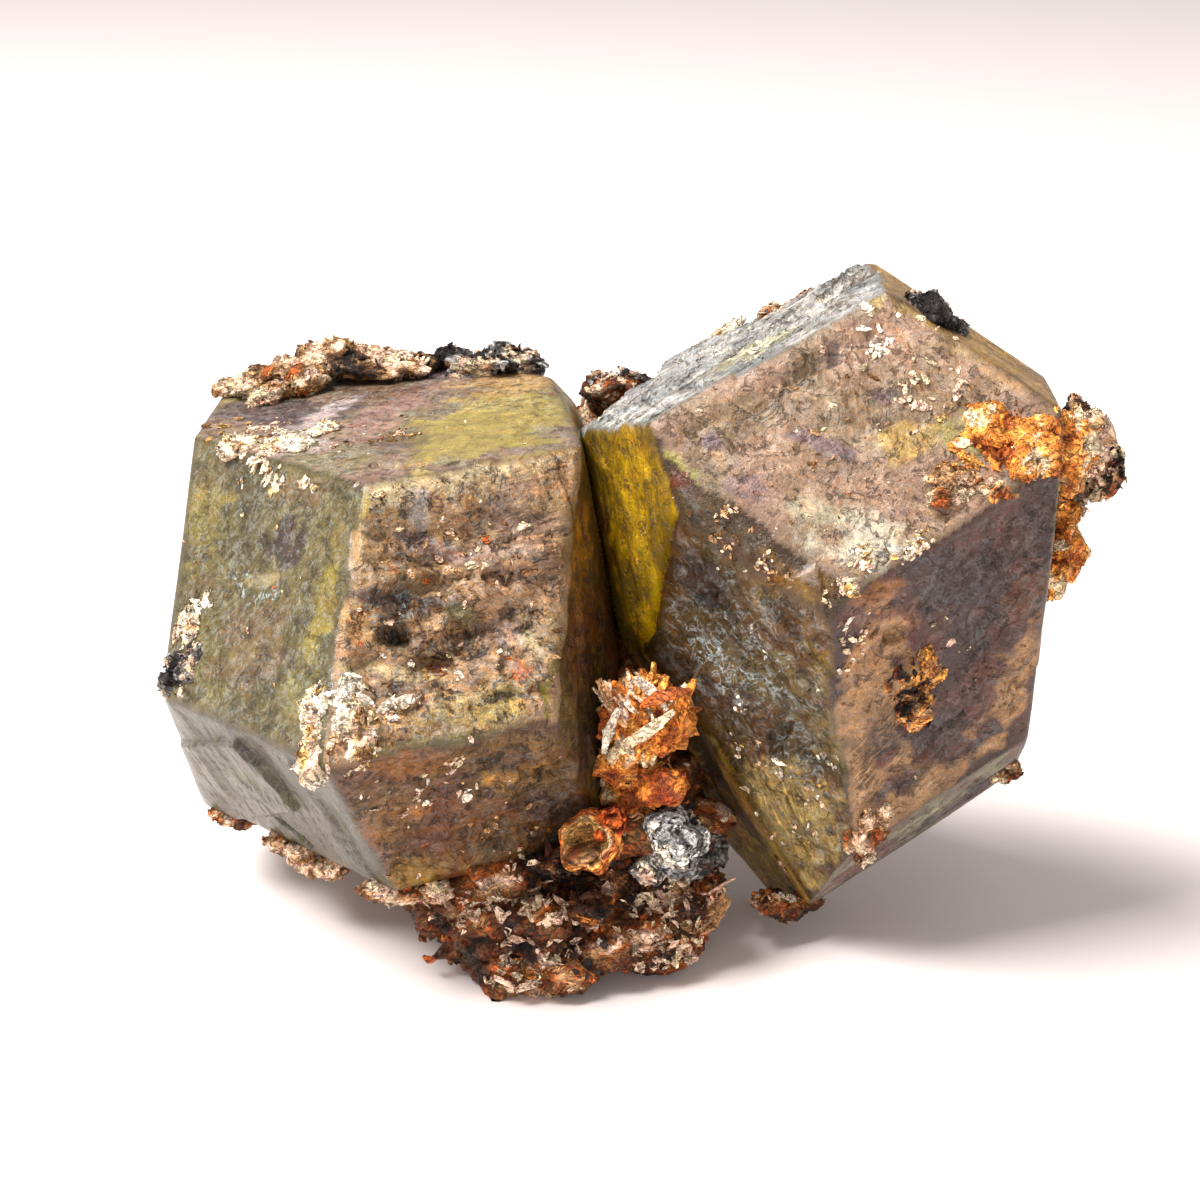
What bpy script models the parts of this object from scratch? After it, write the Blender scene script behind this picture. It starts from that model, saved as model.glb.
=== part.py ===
"""Two green garnet crystals grown together, with rusty muscovite mica round them.

Lengths are in millimetres and angles in degrees, and the finished meshes are scaled to metres.
The viewer's side is -Y, the right is +X and up is +Z.
The origin is on the surface that the specimen rests on, under its middle.
"""

import math
import random

import bmesh
import bpy
from mathutils import Matrix, Vector, noise

TO_METRES = 0.001
SPECIMEN = "garnet_with_muscovite"
GAP = 0.3
EDGE_WEAR = 0.16
SHORT_EDGE = 1.2
STEP_INSET = 0.42
WELD = 0.02
BLANK_SIZE = 90.0

# A crystal is a block cut down by flat faces. Each face is the bearing of its outward normal,
# from the front towards the right, then its rise above the horizontal, then its distance
# from the crystal's heart. Neighbouring faces of a rhombic dodecahedron are 60 degrees apart.
LEFT_HEART = Vector((-12.8, -0.7, 17.5))
LEFT_FACES = {
    "front": (18, 33, 15.9),
    "rear_low": (-162, -33, 14.3),
    "top": (-112, 85, 12.7),
    "underside": (68, -85, 11.1),
    "left": (-53, 28, 12.5),
    "rear_right": (127, -28, 14.3),
    "low_front": (22, -27, 16.6),
    "right": (75, 5, 14.3),
    "low_left": (-48, -32, 13.1),
    "top_rear": (171, 34, 20.8),
    "top_right": (99, 44, 17.3),
    "far_left": (-92, 4, 12.6),
    "far_left_low": (-87, -6, 13.3),
    "rear": (180, -11, 14.0),
    "rear_corner": (140, 15, 17.0),
}
RIGHT_HEART = Vector((14.4, -7.5, 22.0))
RIGHT_FACES = {
    "top": (-3, 39, 11.0),
    "band": (-21, 13, 10.9),
    "right": (27, -14, 7.8),
    "front": (-39, -20, 8.1),
    "left": (-64, -7, 10.9),
    "top_left": (-101, 61, 15.4),
    "low_right": (45, -40, 11.8),
    "under_right": (80, -60, 16.4),
    "far_right": (87, -1, 11.0),
    "top_right": (93, 59, 16.6),
    "top_rear": (-173, 25, 15.1),
    "low_front": (-62, -28, 10.7),
    "low_left": (-86, -19, 13.4),
    "tip": (5, -72, 18.9),
    "rear_low": (177, -39, 18.0),
    "rear_right": (145, 13, 12.0),
    "rear_left": (-153, 14, 15.0),
}
# The two crystals meet on one plane, given as the left crystal's face.
CONTACT_BEARING = 93
CONTACT_RISE = 10
CONTACT_DISTANCE = 13.5

# Growth steps: the face that is raised, its height, and the straight sides that bound it.
# A side is the direction in the face that it looks to and its distance from the face's middle.
LEFT_STEPS = (
    ("front", 0.45, ((-88, -1.2), (12, 8.0), (180, 4.5))),
    ("front", 0.4, ((100, -7.4), (0, 4.2), (-165, 6.6))),
    ("low_front", 0.4, ((80, 0.6), (-10, 3.4), (150, 5.4))),
    ("low_left", 0.35, ((-60, 2.2), (115, 3.6), (20, 6.0))),
    ("top", 0.3, ((100, 9.5), (-80, -1.5), (10, 8.0))),
)
RIGHT_STEPS = (
    ("top", 0.5, ((209, -7.6), (243, -9.5))),
    ("top", 0.35, ((-57, -10.0),)),
    ("top_left", 0.5, ((20, -3.4), (-100, 5.5))),
    ("top_left", 0.3, ((-170, 2.6), (85, 1.5))),
    ("band", 0.4, ((125, 2.0), (20, 1.8))),
    ("right", 0.45, ((170, -5.2), (-75, 3.0))),
    ("front", 0.4, ((-60, 4.5), (140, 3.4), (40, 4.6))),
    ("front", 0.35, ((60, -7.5), (150, 6.0))),
)
# Pits and broken ledges: face, place to the right and up, half width, half height, depth, turn.
LEFT_PITS = (
    ("front", -1.2, -0.9, 2.3, 0.75, 0.9, 8),
    ("front", 3.4, -0.9, 1.9, 0.6, 0.8, -10),
    ("front", -3.6, -3.6, 1.0, 0.9, 1.2, 20),
    ("front", 0.9, -3.6, 2.6, 0.6, 0.9, 4),
    ("front", -1.6, -5.8, 1.7, 0.7, 0.9, -6),
    ("front", 3.4, -6.0, 0.8, 1.3, 0.7, 0),
    ("low_front", 4.0, 5.4, 2.0, 1.0, 0.8, -15),
    ("low_left", 2.0, -3.0, 2.4, 0.4, 0.5, -35),
)
RIGHT_PITS = (
    ("front", -3.0, 5.2, 1.3, 0.9, 0.6, 30),
    ("front", -0.4, -4.4, 1.6, 0.6, 0.6, 60),
    ("right", 1.4, -6.4, 2.3, 0.35, 0.6, 48),
    ("right", 2.6, -4.6, 1.8, 0.3, 0.5, 42),
    ("right", -2.4, 3.2, 1.0, 0.6, 0.5, -30),
    ("top", -2.6, 9.6, 1.6, 0.4, 0.5, 25),
    ("band", -4.4, 4.9, 1.4, 0.5, 0.5, -38),
)

# Muscovite. A crust is a flaky lump: centre, half sizes, and the way that its flat side looks.
# A book is a stack of mica leaves: centre, the way that it looks, radius, length, leaves.
RUST = (0.42, 0.17, 0.06, 1)
ORANGE = (0.66, 0.32, 0.10, 1)
CREAM = (0.72, 0.60, 0.47, 1)
SILVER = (0.42, 0.42, 0.43, 1)
GREY = (0.20, 0.19, 0.18, 1)
TAN = (0.55, 0.42, 0.28, 1)
OLIVE_GARNET = (0.30, 0.24, 0.11, 1)
BROWN_GARNET = (0.28, 0.20, 0.13, 1)

BOOKS = {
    "barrel_book": (ORANGE, ((-0.4, -13.7, 9.6), (-8, 8), 1.75, 3.2, 4)),
    "silver_book": (SILVER, ((4.5, -12.0, 8.5), (18, 16), 2.2, 3.0, 4)),
}
# Each crust: its colour, its body (centre, half sizes, look) and its leaves. The half sizes
# are the level width, the height and the depth along the look, a bearing and a rise.
CRUSTS = {
    "orange_fan": (ORANGE, ((2.2, -10.2, 16.2), (2.9, 2.2, 1.8), (-10, 20)),
                   (((1.2, -11.4, 16.6), (-30, 35), 1.7, 0.9, 2),
                    ((3.4, -11.6, 15.6), (30, 30), 1.6, 0.9, 2))),
    "orange_body": (ORANGE, ((2.7, -10.2, 12.4), (2.5, 1.9, 1.7), (0, 10)), ()),
    "orange_knob": (RUST, ((3.9, -13.0, 12.5), (1.3, 1.1, 1.1), (10, 10)), ()),
    "yellow_knob": (ORANGE, ((2.0, -11.6, 10.3), (1.0, 1.0, 0.8), (0, 0)), ()),
    "wing_flake": (TAN, ((6.4, -9.7, 3.6), (1.6, 2.0, 1.4), (30, -10)),
                   (((7.0, -9.9, 4.6), (55, 20), 1.5, 0.5, 1),)),
    "tip_rust": (RUST, ((11.2, -7.6, 2.3), (2.0, 1.6, 1.4), (0, -80)), ()),
    "corner_patch": (CREAM, ((-14.3, -19.6, 19.0), (2.2, 2.7, 1.2), (-20, 30)), ()),
    "left_white_patch": (CREAM, ((-23.6, -6.4, 21.4), (1.5, 2.2, 1.0), (-53, 28)), ()),
    "left_dark_patch": (GREY, ((-24.3, -8.6, 17.8), (1.5, 1.9, 1.1), (-53, 28)), ()),
    "top_patch": (CREAM, ((-19.2, -0.2, 29.9), (3.6, 4.2, 0.9), (-112, 85)), ()),
    "tan_crest": (TAN, ((-21.6, 11.6, 29.8), (3.7, 5.0, 2.2), (-112, 80)),
                  (((-22.2, 12.0, 31.2), (-60, 60), 1.7, 0.7, 1),)),
    "pale_crest": (CREAM, ((-14.4, 14.3, 30.9), (4.6, 3.0, 1.8), (180, 80)),
                   (((-15.5, 13.4, 32.0), (-20, 65), 1.6, 0.6, 1),)),
    "dark_crest": (GREY, ((-7.0, 13.4, 31.2), (3.5, 2.8, 1.9), (150, 75)),
                   (((-6.8, 12.8, 32.7), (10, 60), 1.5, 0.6, 1),)),
    "back_wedge": (GREY, ((1.6, 7.4, 30.6), (2.6, 2.8, 2.1), (170, 60)),
                   (((1.8, 7.0, 32.1), (-30, 60), 1.4, 0.5, 1),)),
    "low_ridge_crumb": (CREAM, ((7.2, 2.6, 35.1), (2.3, 1.5, 1.2), (-101, 61)), ()),
    "high_ridge_crumb": (TAN, ((11.2, 0.6, 37.5), (1.9, 1.4, 1.1), (-101, 61)), ()),
    "dark_bump": (GREY, ((19.4, -6.4, 38.5), (2.0, 2.0, 1.7), (93, 59)), ()),
    "corner_orange": (ORANGE, ((22.6, -12.6, 33.6), (2.3, 2.1, 1.1), (-3, 39)), ()),
    "corner_rim": (CREAM, ((25.4, -9.8, 32.2), (1.3, 2.0, 1.9), (60, 40)), ()),
    "ridge_patch": (TAN, ((20.0, -14.7, 31.1), (2.2, 1.1, 1.0), (10, 20)), ()),
    "grey_lobe": (GREY, ((28.0, -7.2, 30.9), (2.4, 2.7, 2.1), (90, 10)),
                  (((28.0, -9.0, 32.0), (50, 30), 1.6, 0.6, 1),)),
    "rusty_lobe": (ORANGE, ((26.2, -8.2, 25.7), (2.0, 2.5, 1.6), (90, 0)), ()),
    "speckled_patch": (ORANGE, ((17.6, -14.2, 19.4), (1.7, 2.4, 0.9), (27, -14)), ()),
    "low_patch": (TAN, ((11.3, -8.7, 6.4), (1.1, 1.9, 0.7), (-39, -20)), ()),
    "edge_patch": (TAN, ((15.7, -12.1, 9.3), (1.5, 2.4, 0.7), (27, -14)), ()),
    "corner_bit": (TAN, ((24.6, -5.3, 9.9), (0.9, 1.0, 1.1), (60, -50)), ()),
    "low_crust_left": (RUST, ((-23.2, -0.2, 4.7), (1.4, 1.8, 1.3), (-48, -50)), ()),
    "low_crust_middle": (TAN, ((-17.8, -6.2, 4.6), (2.8, 1.6, 1.2), (-40, -60)), ()),
    "low_crust_right": (TAN, ((-11.2, -13.3, 5.8), (3.0, 1.4, 1.1), (0, -60)), ()),
    "rear_crust": (CREAM, ((-6.0, 14.5, 16.0), (4.2, 5.0, 2.6), (170, 0)),
                   (((-5.0, 16.4, 18.0), (150, 20), 2.2, 0.7, 2),)),
    "rear_seam": (TAN, ((0.8, 9.6, 20.5), (3.4, 8.0, 3.2), (180, 0)), ()),
    "rear_flakes": (SILVER, ((19.0, 3.6, 26.5), (3.0, 3.4, 1.6), (150, 10)),
                    (((18.5, 4.9, 27.5), (160, 25), 1.8, 0.6, 1),)),
}
# The crust that carries the crystals: lumps joined in one solid with a flat foot.
BASE_LUMPS = (
    ((-1.4, -4.6, 3.4), (8.8, 10.4, 5.6)),
    ((-4.9, -11.6, 2.2), (4.2, 4.2, 3.6)),
    ((1.4, -11.0, 4.4), (4.6, 3.2, 3.4)),
    ((1.6, -7.0, 10.0), (2.9, 3.4, 5.0)),
    ((1.0, 3.0, 8.5), (5.0, 5.0, 5.5)),
    ((1.4, -0.6, 14.0), (3.2, 4.6, 7.5)),
    ((-9.2, -10.8, 4.4), (2.4, 2.4, 1.9)),
)
BASE_BLADES = (
    ((-7.6, -12.4, 3.6), (-35, 10), 1.9, 0.7, 1),
    ((-3.2, -14.4, 4.4), (-10, 25), 1.7, 0.7, 1),
    ((1.8, -13.4, 3.4), (20, 0), 1.7, 0.7, 1),
    ((-6.2, -14.0, 1.5), (-20, -25), 1.6, 0.6, 1),
    ((4.6, -11.6, 5.0), (30, 20), 1.4, 0.6, 1),
    ((0.2, -14.2, 5.2), (10, 35), 1.3, 0.6, 1),
    ((-9.8, -11.8, 4.6), (-50, 15), 1.3, 0.6, 1),
    ((-1.0, -14.3, 1.6), (5, -20), 1.5, 0.6, 1),
)


def clear_scene():
    """Remove what the scene holds at the start."""
    for old in list(bpy.data.objects):
        bpy.data.objects.remove(old, do_unlink=True)


def new_collection(name):
    """A collection under the scene."""
    made = bpy.data.collections.new(name)
    bpy.context.scene.collection.children.link(made)
    return made


def new_material(name, colour, roughness):
    """A plain mineral surface."""
    made = bpy.data.materials.new(name)
    made.use_nodes = True
    shader = made.node_tree.nodes["Principled BSDF"]
    shader.inputs["Base Color"].default_value = colour
    shader.inputs["Roughness"].default_value = roughness
    shader.inputs["Metallic"].default_value = 0.0
    return made


def direction(bearing, rise):
    """The unit vector with this bearing, from the front towards the right, and this rise."""
    b = math.radians(bearing)
    r = math.radians(rise)
    return Vector((math.cos(r) * math.sin(b), -math.cos(r) * math.cos(b), math.sin(r)))


def facing(bearing, rise):
    """A rotation whose Z looks along the direction, with X level."""
    outward = direction(bearing, rise)
    level = Vector((0, 0, 1)).cross(outward).normalized()
    return Matrix((level, outward.cross(level), outward)).transposed()


def slice_off(bm, point, outward):
    """Cut the solid flat at a plane and close it."""
    everything = bm.verts[:] + bm.edges[:] + bm.faces[:]
    cut = bmesh.ops.bisect_plane(
        bm, geom=everything, plane_co=point, plane_no=outward, clear_outer=True)
    rim = [part for part in cut["geom_cut"] if isinstance(part, bmesh.types.BMEdge)]
    if rim:
        bmesh.ops.edgeloop_fill(bm, edges=rim)


def crystal(heart, faces, grow=0.0, sides=()):
    """A block cut down to the crystal's faces, each moved out by grow."""
    bm = bmesh.new()
    bmesh.ops.create_cube(bm, size=BLANK_SIZE, matrix=Matrix.Translation(heart))
    for bearing, rise, distance in faces.values():
        outward = direction(bearing, rise)
        slice_off(bm, heart + outward * (distance + grow), outward)
    for point, outward in sides:
        slice_off(bm, point, outward)
    bmesh.ops.recalc_face_normals(bm, faces=bm.faces[:])
    return bm


def wear_edges(bm, depth):
    """Plane the sharpness off the long edges of a cut crystal."""
    flats = []
    for edge in bm.edges:
        if edge.calc_length() > SHORT_EDGE:
            outward = (edge.link_faces[0].normal + edge.link_faces[1].normal).normalized()
            middle = (edge.verts[0].co + edge.verts[1].co) / 2
            flats.append((middle - outward * depth, outward))
    for point, outward in flats:
        slice_off(bm, point, outward)
    bmesh.ops.recalc_face_normals(bm, faces=bm.faces[:])
    return bm


def on_face(heart, face, right, up, out=0.0):
    """The point on a crystal face at a place to the right and up from its middle."""
    bearing, rise, distance = face
    turn = facing(bearing, rise)
    return heart + turn @ Vector((right, up, distance + out))


def growth_step(heart, faces, face_name, height, sides, grow=0.0):
    """A low terrace on one face: the crystal, slightly shrunk, with that face raised."""
    bearing, rise, distance = faces[face_name]
    raised = dict(faces)
    raised[face_name] = (bearing, rise, distance + height + STEP_INSET)
    turn = facing(bearing, rise)
    planes = []
    for angle, reach in sides:
        a = math.radians(angle)
        along = turn @ Vector((math.cos(a), math.sin(a), 0.0))
        slope = (along + 0.6 * direction(bearing, rise)).normalized()
        planes.append((on_face(heart, faces[face_name], 0, 0) + along * (reach + grow), slope))
    return crystal(heart, raised, grow - STEP_INSET, planes)


def lump(centre, half_sizes, turn, seed, grow=0.0, divisions=2, roughness=0.22):
    """A ball of flaky mica with an uneven, ledged surface."""
    bm = bmesh.new()
    bmesh.ops.create_icosphere(bm, subdivisions=divisions, radius=1.0)
    shift = Vector((seed * 3.7, seed * 1.3, seed * 2.9))
    for vert in bm.verts:
        swell = noise.noise(vert.co * 1.9 + shift) + 0.6 * noise.noise(vert.co * 4.3 - shift)
        ledge = round(vert.co.z * 4.0) / 4.0 - vert.co.z
        radius = 1.0 + roughness * swell
        flat = Vector((0.0, 0.0, 0.5 * ledge))
        unit = (vert.co + flat) * radius
        vert.co = Vector([unit[i] * (half_sizes[i] + grow) for i in range(3)])
    bmesh.ops.transform(
        bm, matrix=Matrix.Translation(Vector(centre)) @ turn.to_4x4(), verts=bm.verts[:])
    return bm


def book(centre, turn, radius, length, leaves, seed, grow=0.0, corners=8):
    """A stack of uneven mica leaves, drawn up leaf by leaf from one outline."""
    rng = random.Random(seed)
    uneven = [rng.uniform(0.86, 1.12) for _ in range(corners)]
    steps = [rng.uniform(0.82, 1.0) for _ in range(leaves)]
    steps[0] = 0.94
    bm = bmesh.new()
    bmesh.ops.create_circle(bm, cap_ends=True, segments=corners, radius=1.0)
    for vert, factor in zip(bm.verts, uneven):
        vert.co *= factor * (radius + grow) * steps[0]
    thickness = (length + 2 * grow) / leaves
    bm.faces.ensure_lookup_table()
    face = bm.faces[0]
    scale = steps[0]
    for index, step in enumerate(steps):
        if index > 0:
            face = draw_up(bm, face, 0.0, step / scale)
            scale = step
        face = draw_up(bm, face, thickness, 1.0)
    bmesh.ops.holes_fill(bm, edges=bm.edges[:])
    bmesh.ops.recalc_face_normals(bm, faces=bm.faces[:])
    down = Matrix.Translation((0, 0, -length / 2 - grow))
    bmesh.ops.transform(
        bm, matrix=Matrix.Translation(Vector(centre)) @ turn.to_4x4() @ down, verts=bm.verts[:])
    return bm


def draw_up(bm, face, height, scale):
    """Extrude one face upward by a height, or outward in its own plane by a scale."""
    made = bmesh.ops.extrude_discrete_faces(bm, faces=[face])["faces"][0]
    middle = made.calc_center_median()
    for vert in made.verts:
        vert.co = middle + (vert.co - middle) * scale
        vert.co.z += height
    return made


def as_object(name, bm, home, material=None):
    """Put a mesh worked in millimetres into the scene in metres."""
    bmesh.ops.triangulate(bm, faces=bm.faces[:])
    bmesh.ops.scale(bm, vec=(TO_METRES, TO_METRES, TO_METRES), verts=bm.verts[:])
    mesh = bpy.data.meshes.new(name)
    bm.to_mesh(mesh)
    bm.free()
    made = bpy.data.objects.new(name, mesh)
    home.objects.link(made)
    if material:
        mesh.materials.append(material)
    return made


def cutter(name, bm, cutters):
    """A hidden solid that shapes another one."""
    made = as_object(name, bm, cutters)
    made.hide_render = True
    made.display_type = "WIRE"
    return made


def combine(target, tool, operation):
    """Join a tool to a solid, or cut it out."""
    boolean = target.modifiers.new(operation.lower(), "BOOLEAN")
    boolean.operation = operation
    boolean.solver = "EXACT"
    boolean.object = tool


def settle(target):
    """Make the joined shape the object's own mesh, and keep its main body."""
    graph = bpy.context.evaluated_depsgraph_get()
    shaped = bpy.data.meshes.new_from_object(target.evaluated_get(graph))
    target.modifiers.clear()
    target.data = shaped
    bm = bmesh.new()
    bm.from_mesh(shaped)
    bmesh.ops.remove_doubles(bm, verts=bm.verts[:], dist=WELD * TO_METRES)
    bmesh.ops.dissolve_degenerate(bm, edges=bm.edges[:], dist=WELD * TO_METRES)
    open_rim = [edge for edge in bm.edges if edge.is_boundary]
    bmesh.ops.holes_fill(bm, edges=open_rim)
    bmesh.ops.triangulate(bm, faces=bm.faces[:])
    bodies = separate_bodies(bm)
    main = max(bodies, key=len)
    loose = [vert for body in bodies if body is not main for vert in body]
    bmesh.ops.delete(bm, geom=loose, context="VERTS")
    bm.to_mesh(shaped)
    bm.free()


def separate_bodies(bm):
    """The groups of vertices that edges hold together."""
    left = set(bm.verts)
    bodies = []
    while left:
        front = [left.pop()]
        body = []
        while front:
            vert = front.pop()
            body.append(vert)
            for edge in vert.link_edges:
                other = edge.other_vert(vert)
                if other in left:
                    left.remove(other)
                    front.append(other)
        bodies.append(body)
    return bodies


def pit(heart, faces, face_name, right, up, width, height, depth, turn, seed):
    """A rough hollow to be cut in a crystal face."""
    bearing, rise, _ = faces[face_name]
    place = on_face(heart, faces[face_name], right, up, 0.1 * depth)
    spin = facing(bearing, rise) @ Matrix.Rotation(math.radians(turn), 3, "Z")
    return lump(place, (width, height, depth), spin, seed, 0.0, 1, 0.3)


def make_garnet(name, heart, faces, steps, pits, material, home, cutters):
    """One garnet crystal with its growth steps and broken hollows."""
    garnet = as_object(name, wear_edges(crystal(heart, faces), EDGE_WEAR), home, material)
    for index, (face_name, height, sides) in enumerate(steps):
        raised = growth_step(heart, faces, face_name, height, sides)
        combine(garnet, cutter(f"{name}_step_{index}", raised, cutters), "UNION")
        settle(garnet)
    for index, hollow in enumerate(pits):
        shape = pit(heart, faces, *hollow, index + len(name))
        combine(garnet, cutter(f"{name}_pit_{index}", shape, cutters), "DIFFERENCE")
        settle(garnet)
    return garnet


def overlap(box_a, box_b):
    """Whether two boxes share space."""
    low_a, high_a = box_a
    low_b, high_b = box_b
    return all(low_a[i] < high_b[i] and low_b[i] < high_a[i] for i in range(3))


def box_of(thing):
    """Lowest and highest corner of an object's mesh."""
    places = [vert.co for vert in thing.data.vertices]
    low = [min(place[i] for place in places) for i in range(3)]
    high = [max(place[i] for place in places) for i in range(3)]
    return low, high


def make_mica(name, shapes, material, home, cutters, neighbours):
    """One piece of mica, joined from its shapes and cut clear of what lies next to it."""
    piece = as_object(name, shapes[0](0.0), home, material)
    for index, shape in enumerate(shapes[1:]):
        combine(piece, cutter(f"{name}_leaf_{index}", shape(0.0), cutters), "UNION")
    settle(piece)
    extent = box_of(piece)
    near = [thing for thing in neighbours if overlap(extent, box_of(thing))]
    for thing in near:
        combine(piece, thing, "DIFFERENCE")
        settle(piece)
    for index, shape in enumerate(shapes):
        neighbours.append(cutter(f"{name}_room_{index}", shape(GAP), cutters))
    return piece


def lump_maker(centre, half_sizes, look, seed, divisions=2):
    """A function that builds the lump at any growth."""
    return lambda grow: lump(centre, half_sizes, facing(*look), seed, grow, divisions)


def book_maker(centre, look, radius, length, leaves, seed):
    """A function that builds the book at any growth."""
    return lambda grow: book(centre, facing(*look), radius, length, leaves, seed, grow)


def make_crystals(home, cutters):
    """Both garnets, and the room that they and their growth steps take up."""
    contact = direction(CONTACT_BEARING, CONTACT_RISE)
    between = contact.dot(RIGHT_HEART - LEFT_HEART)
    left_faces = dict(LEFT_FACES)
    left_faces["contact"] = (CONTACT_BEARING, CONTACT_RISE, CONTACT_DISTANCE)
    right_faces = dict(RIGHT_FACES)
    right_faces["contact"] = (
        CONTACT_BEARING - 180, -CONTACT_RISE, between - CONTACT_DISTANCE - GAP)
    make_garnet("garnet_left", LEFT_HEART, left_faces, LEFT_STEPS, LEFT_PITS,
                new_material("left_garnet", OLIVE_GARNET, 0.45), home, cutters)
    make_garnet("garnet_right", RIGHT_HEART, right_faces, RIGHT_STEPS, RIGHT_PITS,
                new_material("right_garnet", BROWN_GARNET, 0.45), home, cutters)

    neighbours = [
        cutter("left_room", crystal(LEFT_HEART, left_faces, GAP), cutters),
        cutter("right_room", crystal(RIGHT_HEART, right_faces, GAP), cutters),
    ]
    for index, step in enumerate(LEFT_STEPS):
        room = growth_step(LEFT_HEART, left_faces, *step, GAP)
        neighbours.append(cutter(f"left_step_room_{index}", room, cutters))
    for index, step in enumerate(RIGHT_STEPS):
        room = growth_step(RIGHT_HEART, right_faces, *step, GAP)
        neighbours.append(cutter(f"right_step_room_{index}", room, cutters))
    return neighbours


def make_books_and_crusts(home, cutters, neighbours):
    """The small pieces of mica, each cut clear of what was made before it."""
    seed = 1
    for name, (colour, stack) in BOOKS.items():
        shapes = [book_maker(*stack, seed)]
        make_mica(name, shapes, new_material(name, colour, 0.5), home, cutters, neighbours)
        seed += 1
    for name, (colour, body, leaves) in CRUSTS.items():
        shapes = [lump_maker(*body, seed)]
        shapes += [book_maker(*leaf, seed + count) for count, leaf in enumerate(leaves)]
        make_mica(name, shapes, new_material(name, colour, 0.6), home, cutters, neighbours)
        seed += 1


def make_base(home, cutters, neighbours):
    """The mica that carries the crystals, cut flat where it rests."""
    seed = 1 + len(BOOKS) + len(CRUSTS)
    shapes = [lump_maker(centre, sizes, (0, 90), seed + count, 3 if count == 0 else 2)
              for count, (centre, sizes) in enumerate(BASE_LUMPS)]
    shapes += [book_maker(*blade, seed + count) for count, blade in enumerate(BASE_BLADES)]
    floor = bmesh.new()
    bmesh.ops.create_cube(
        floor, size=BLANK_SIZE, matrix=Matrix.Translation((0, 0, -BLANK_SIZE / 2)))
    neighbours.append(cutter("surface_below", floor, cutters))
    make_mica("muscovite_base", shapes, new_material("muscovite_base", RUST, 0.7),
              home, cutters, neighbours)


def main():
    clear_scene()
    home = new_collection(SPECIMEN)
    cutters = new_collection("cutters")
    neighbours = make_crystals(home, cutters)
    make_books_and_crusts(home, cutters, neighbours)
    make_base(home, cutters, neighbours)


main()
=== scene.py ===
import math

import bpy
import numpy as np
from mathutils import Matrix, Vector


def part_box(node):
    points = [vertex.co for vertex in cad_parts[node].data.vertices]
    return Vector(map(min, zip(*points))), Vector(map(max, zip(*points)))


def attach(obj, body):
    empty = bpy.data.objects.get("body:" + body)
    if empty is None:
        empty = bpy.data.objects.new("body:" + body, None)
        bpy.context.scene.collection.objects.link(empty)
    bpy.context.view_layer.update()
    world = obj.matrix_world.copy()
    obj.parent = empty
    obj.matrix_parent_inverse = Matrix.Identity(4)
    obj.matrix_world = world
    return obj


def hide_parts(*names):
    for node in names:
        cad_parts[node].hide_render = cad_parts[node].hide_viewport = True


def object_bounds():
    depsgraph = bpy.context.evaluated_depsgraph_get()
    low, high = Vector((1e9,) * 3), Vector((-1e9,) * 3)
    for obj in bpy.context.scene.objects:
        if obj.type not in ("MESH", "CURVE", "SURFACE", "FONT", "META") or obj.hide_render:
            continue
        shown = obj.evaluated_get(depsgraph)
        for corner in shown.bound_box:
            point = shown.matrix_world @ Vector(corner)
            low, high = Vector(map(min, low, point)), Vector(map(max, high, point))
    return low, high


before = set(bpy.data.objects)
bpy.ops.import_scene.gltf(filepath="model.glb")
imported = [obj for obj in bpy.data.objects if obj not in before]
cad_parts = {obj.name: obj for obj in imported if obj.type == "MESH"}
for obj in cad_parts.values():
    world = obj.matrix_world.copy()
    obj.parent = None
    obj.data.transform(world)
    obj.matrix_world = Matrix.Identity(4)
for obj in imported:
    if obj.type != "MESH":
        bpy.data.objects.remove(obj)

first_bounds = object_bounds()

# The left garnet: one dodecahedral crystal, olive on top and at the left, pinkish brown and
# coarsely ledged in front. It is grown against the right garnet and sits in the mica.

# A millimetre in metres: lengths, places and noise are in millimetres here.
MM = 0.001


def tone(red, green, blue):
    """A linear colour from display values of 0 to 255."""
    shown = np.array([red, green, blue]) / 255.0
    return np.where(shown <= 0.04045, shown / 12.92, ((shown + 0.055) / 1.055) ** 2.4)


def lattice(i, j, k, seed):
    """A fixed value from -1 to 1 for each whole-number point."""
    mixed = (i * 73856093) ^ (j * 19349663) ^ (k * 83492791) ^ (seed * 1013904223)
    mixed = (mixed ^ (mixed >> 13)) * 1274126177
    return ((mixed ^ (mixed >> 16)) & 0xFFFF) / 32767.5 - 1.0


def noise(points, seed=0):
    """Smooth value noise: the eight lattice values round a point, blended by eased fractions."""
    whole = np.floor(points).astype(np.int64)
    part = points - whole
    ease = part * part * (3.0 - 2.0 * part)
    total = np.zeros(len(points))
    for di in (0, 1):
        for dj in (0, 1):
            for dk in (0, 1):
                share = np.where(di, ease[:, 0], 1 - ease[:, 0])
                share = share * np.where(dj, ease[:, 1], 1 - ease[:, 1])
                share = share * np.where(dk, ease[:, 2], 1 - ease[:, 2])
                total += share * lattice(
                    whole[:, 0] + di, whole[:, 1] + dj, whole[:, 2] + dk, seed)
    return total


def layered(points, octaves=4, seed=0):
    """Noise plus ever finer noise, each octave twice as fine and half as strong."""
    total = np.zeros(len(points))
    for octave in range(octaves):
        total += noise(points * 2.0 ** octave + 17.3 * octave, seed + octave) * 0.5 ** octave
    return total


def smooth(value, low, high):
    """0 below low and 1 above high, with an S-shaped rise between them."""
    part = np.clip((value - low) / (high - low), 0.0, 1.0)
    return part * part * (3.0 - 2.0 * part)


def direction(bearing, rise):
    """The unit vector with this bearing, from the front towards the right, and this rise."""
    b, r = math.radians(bearing), math.radians(rise)
    return np.array([math.cos(r) * math.sin(b), -math.cos(r) * math.cos(b), math.sin(r)])


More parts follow.
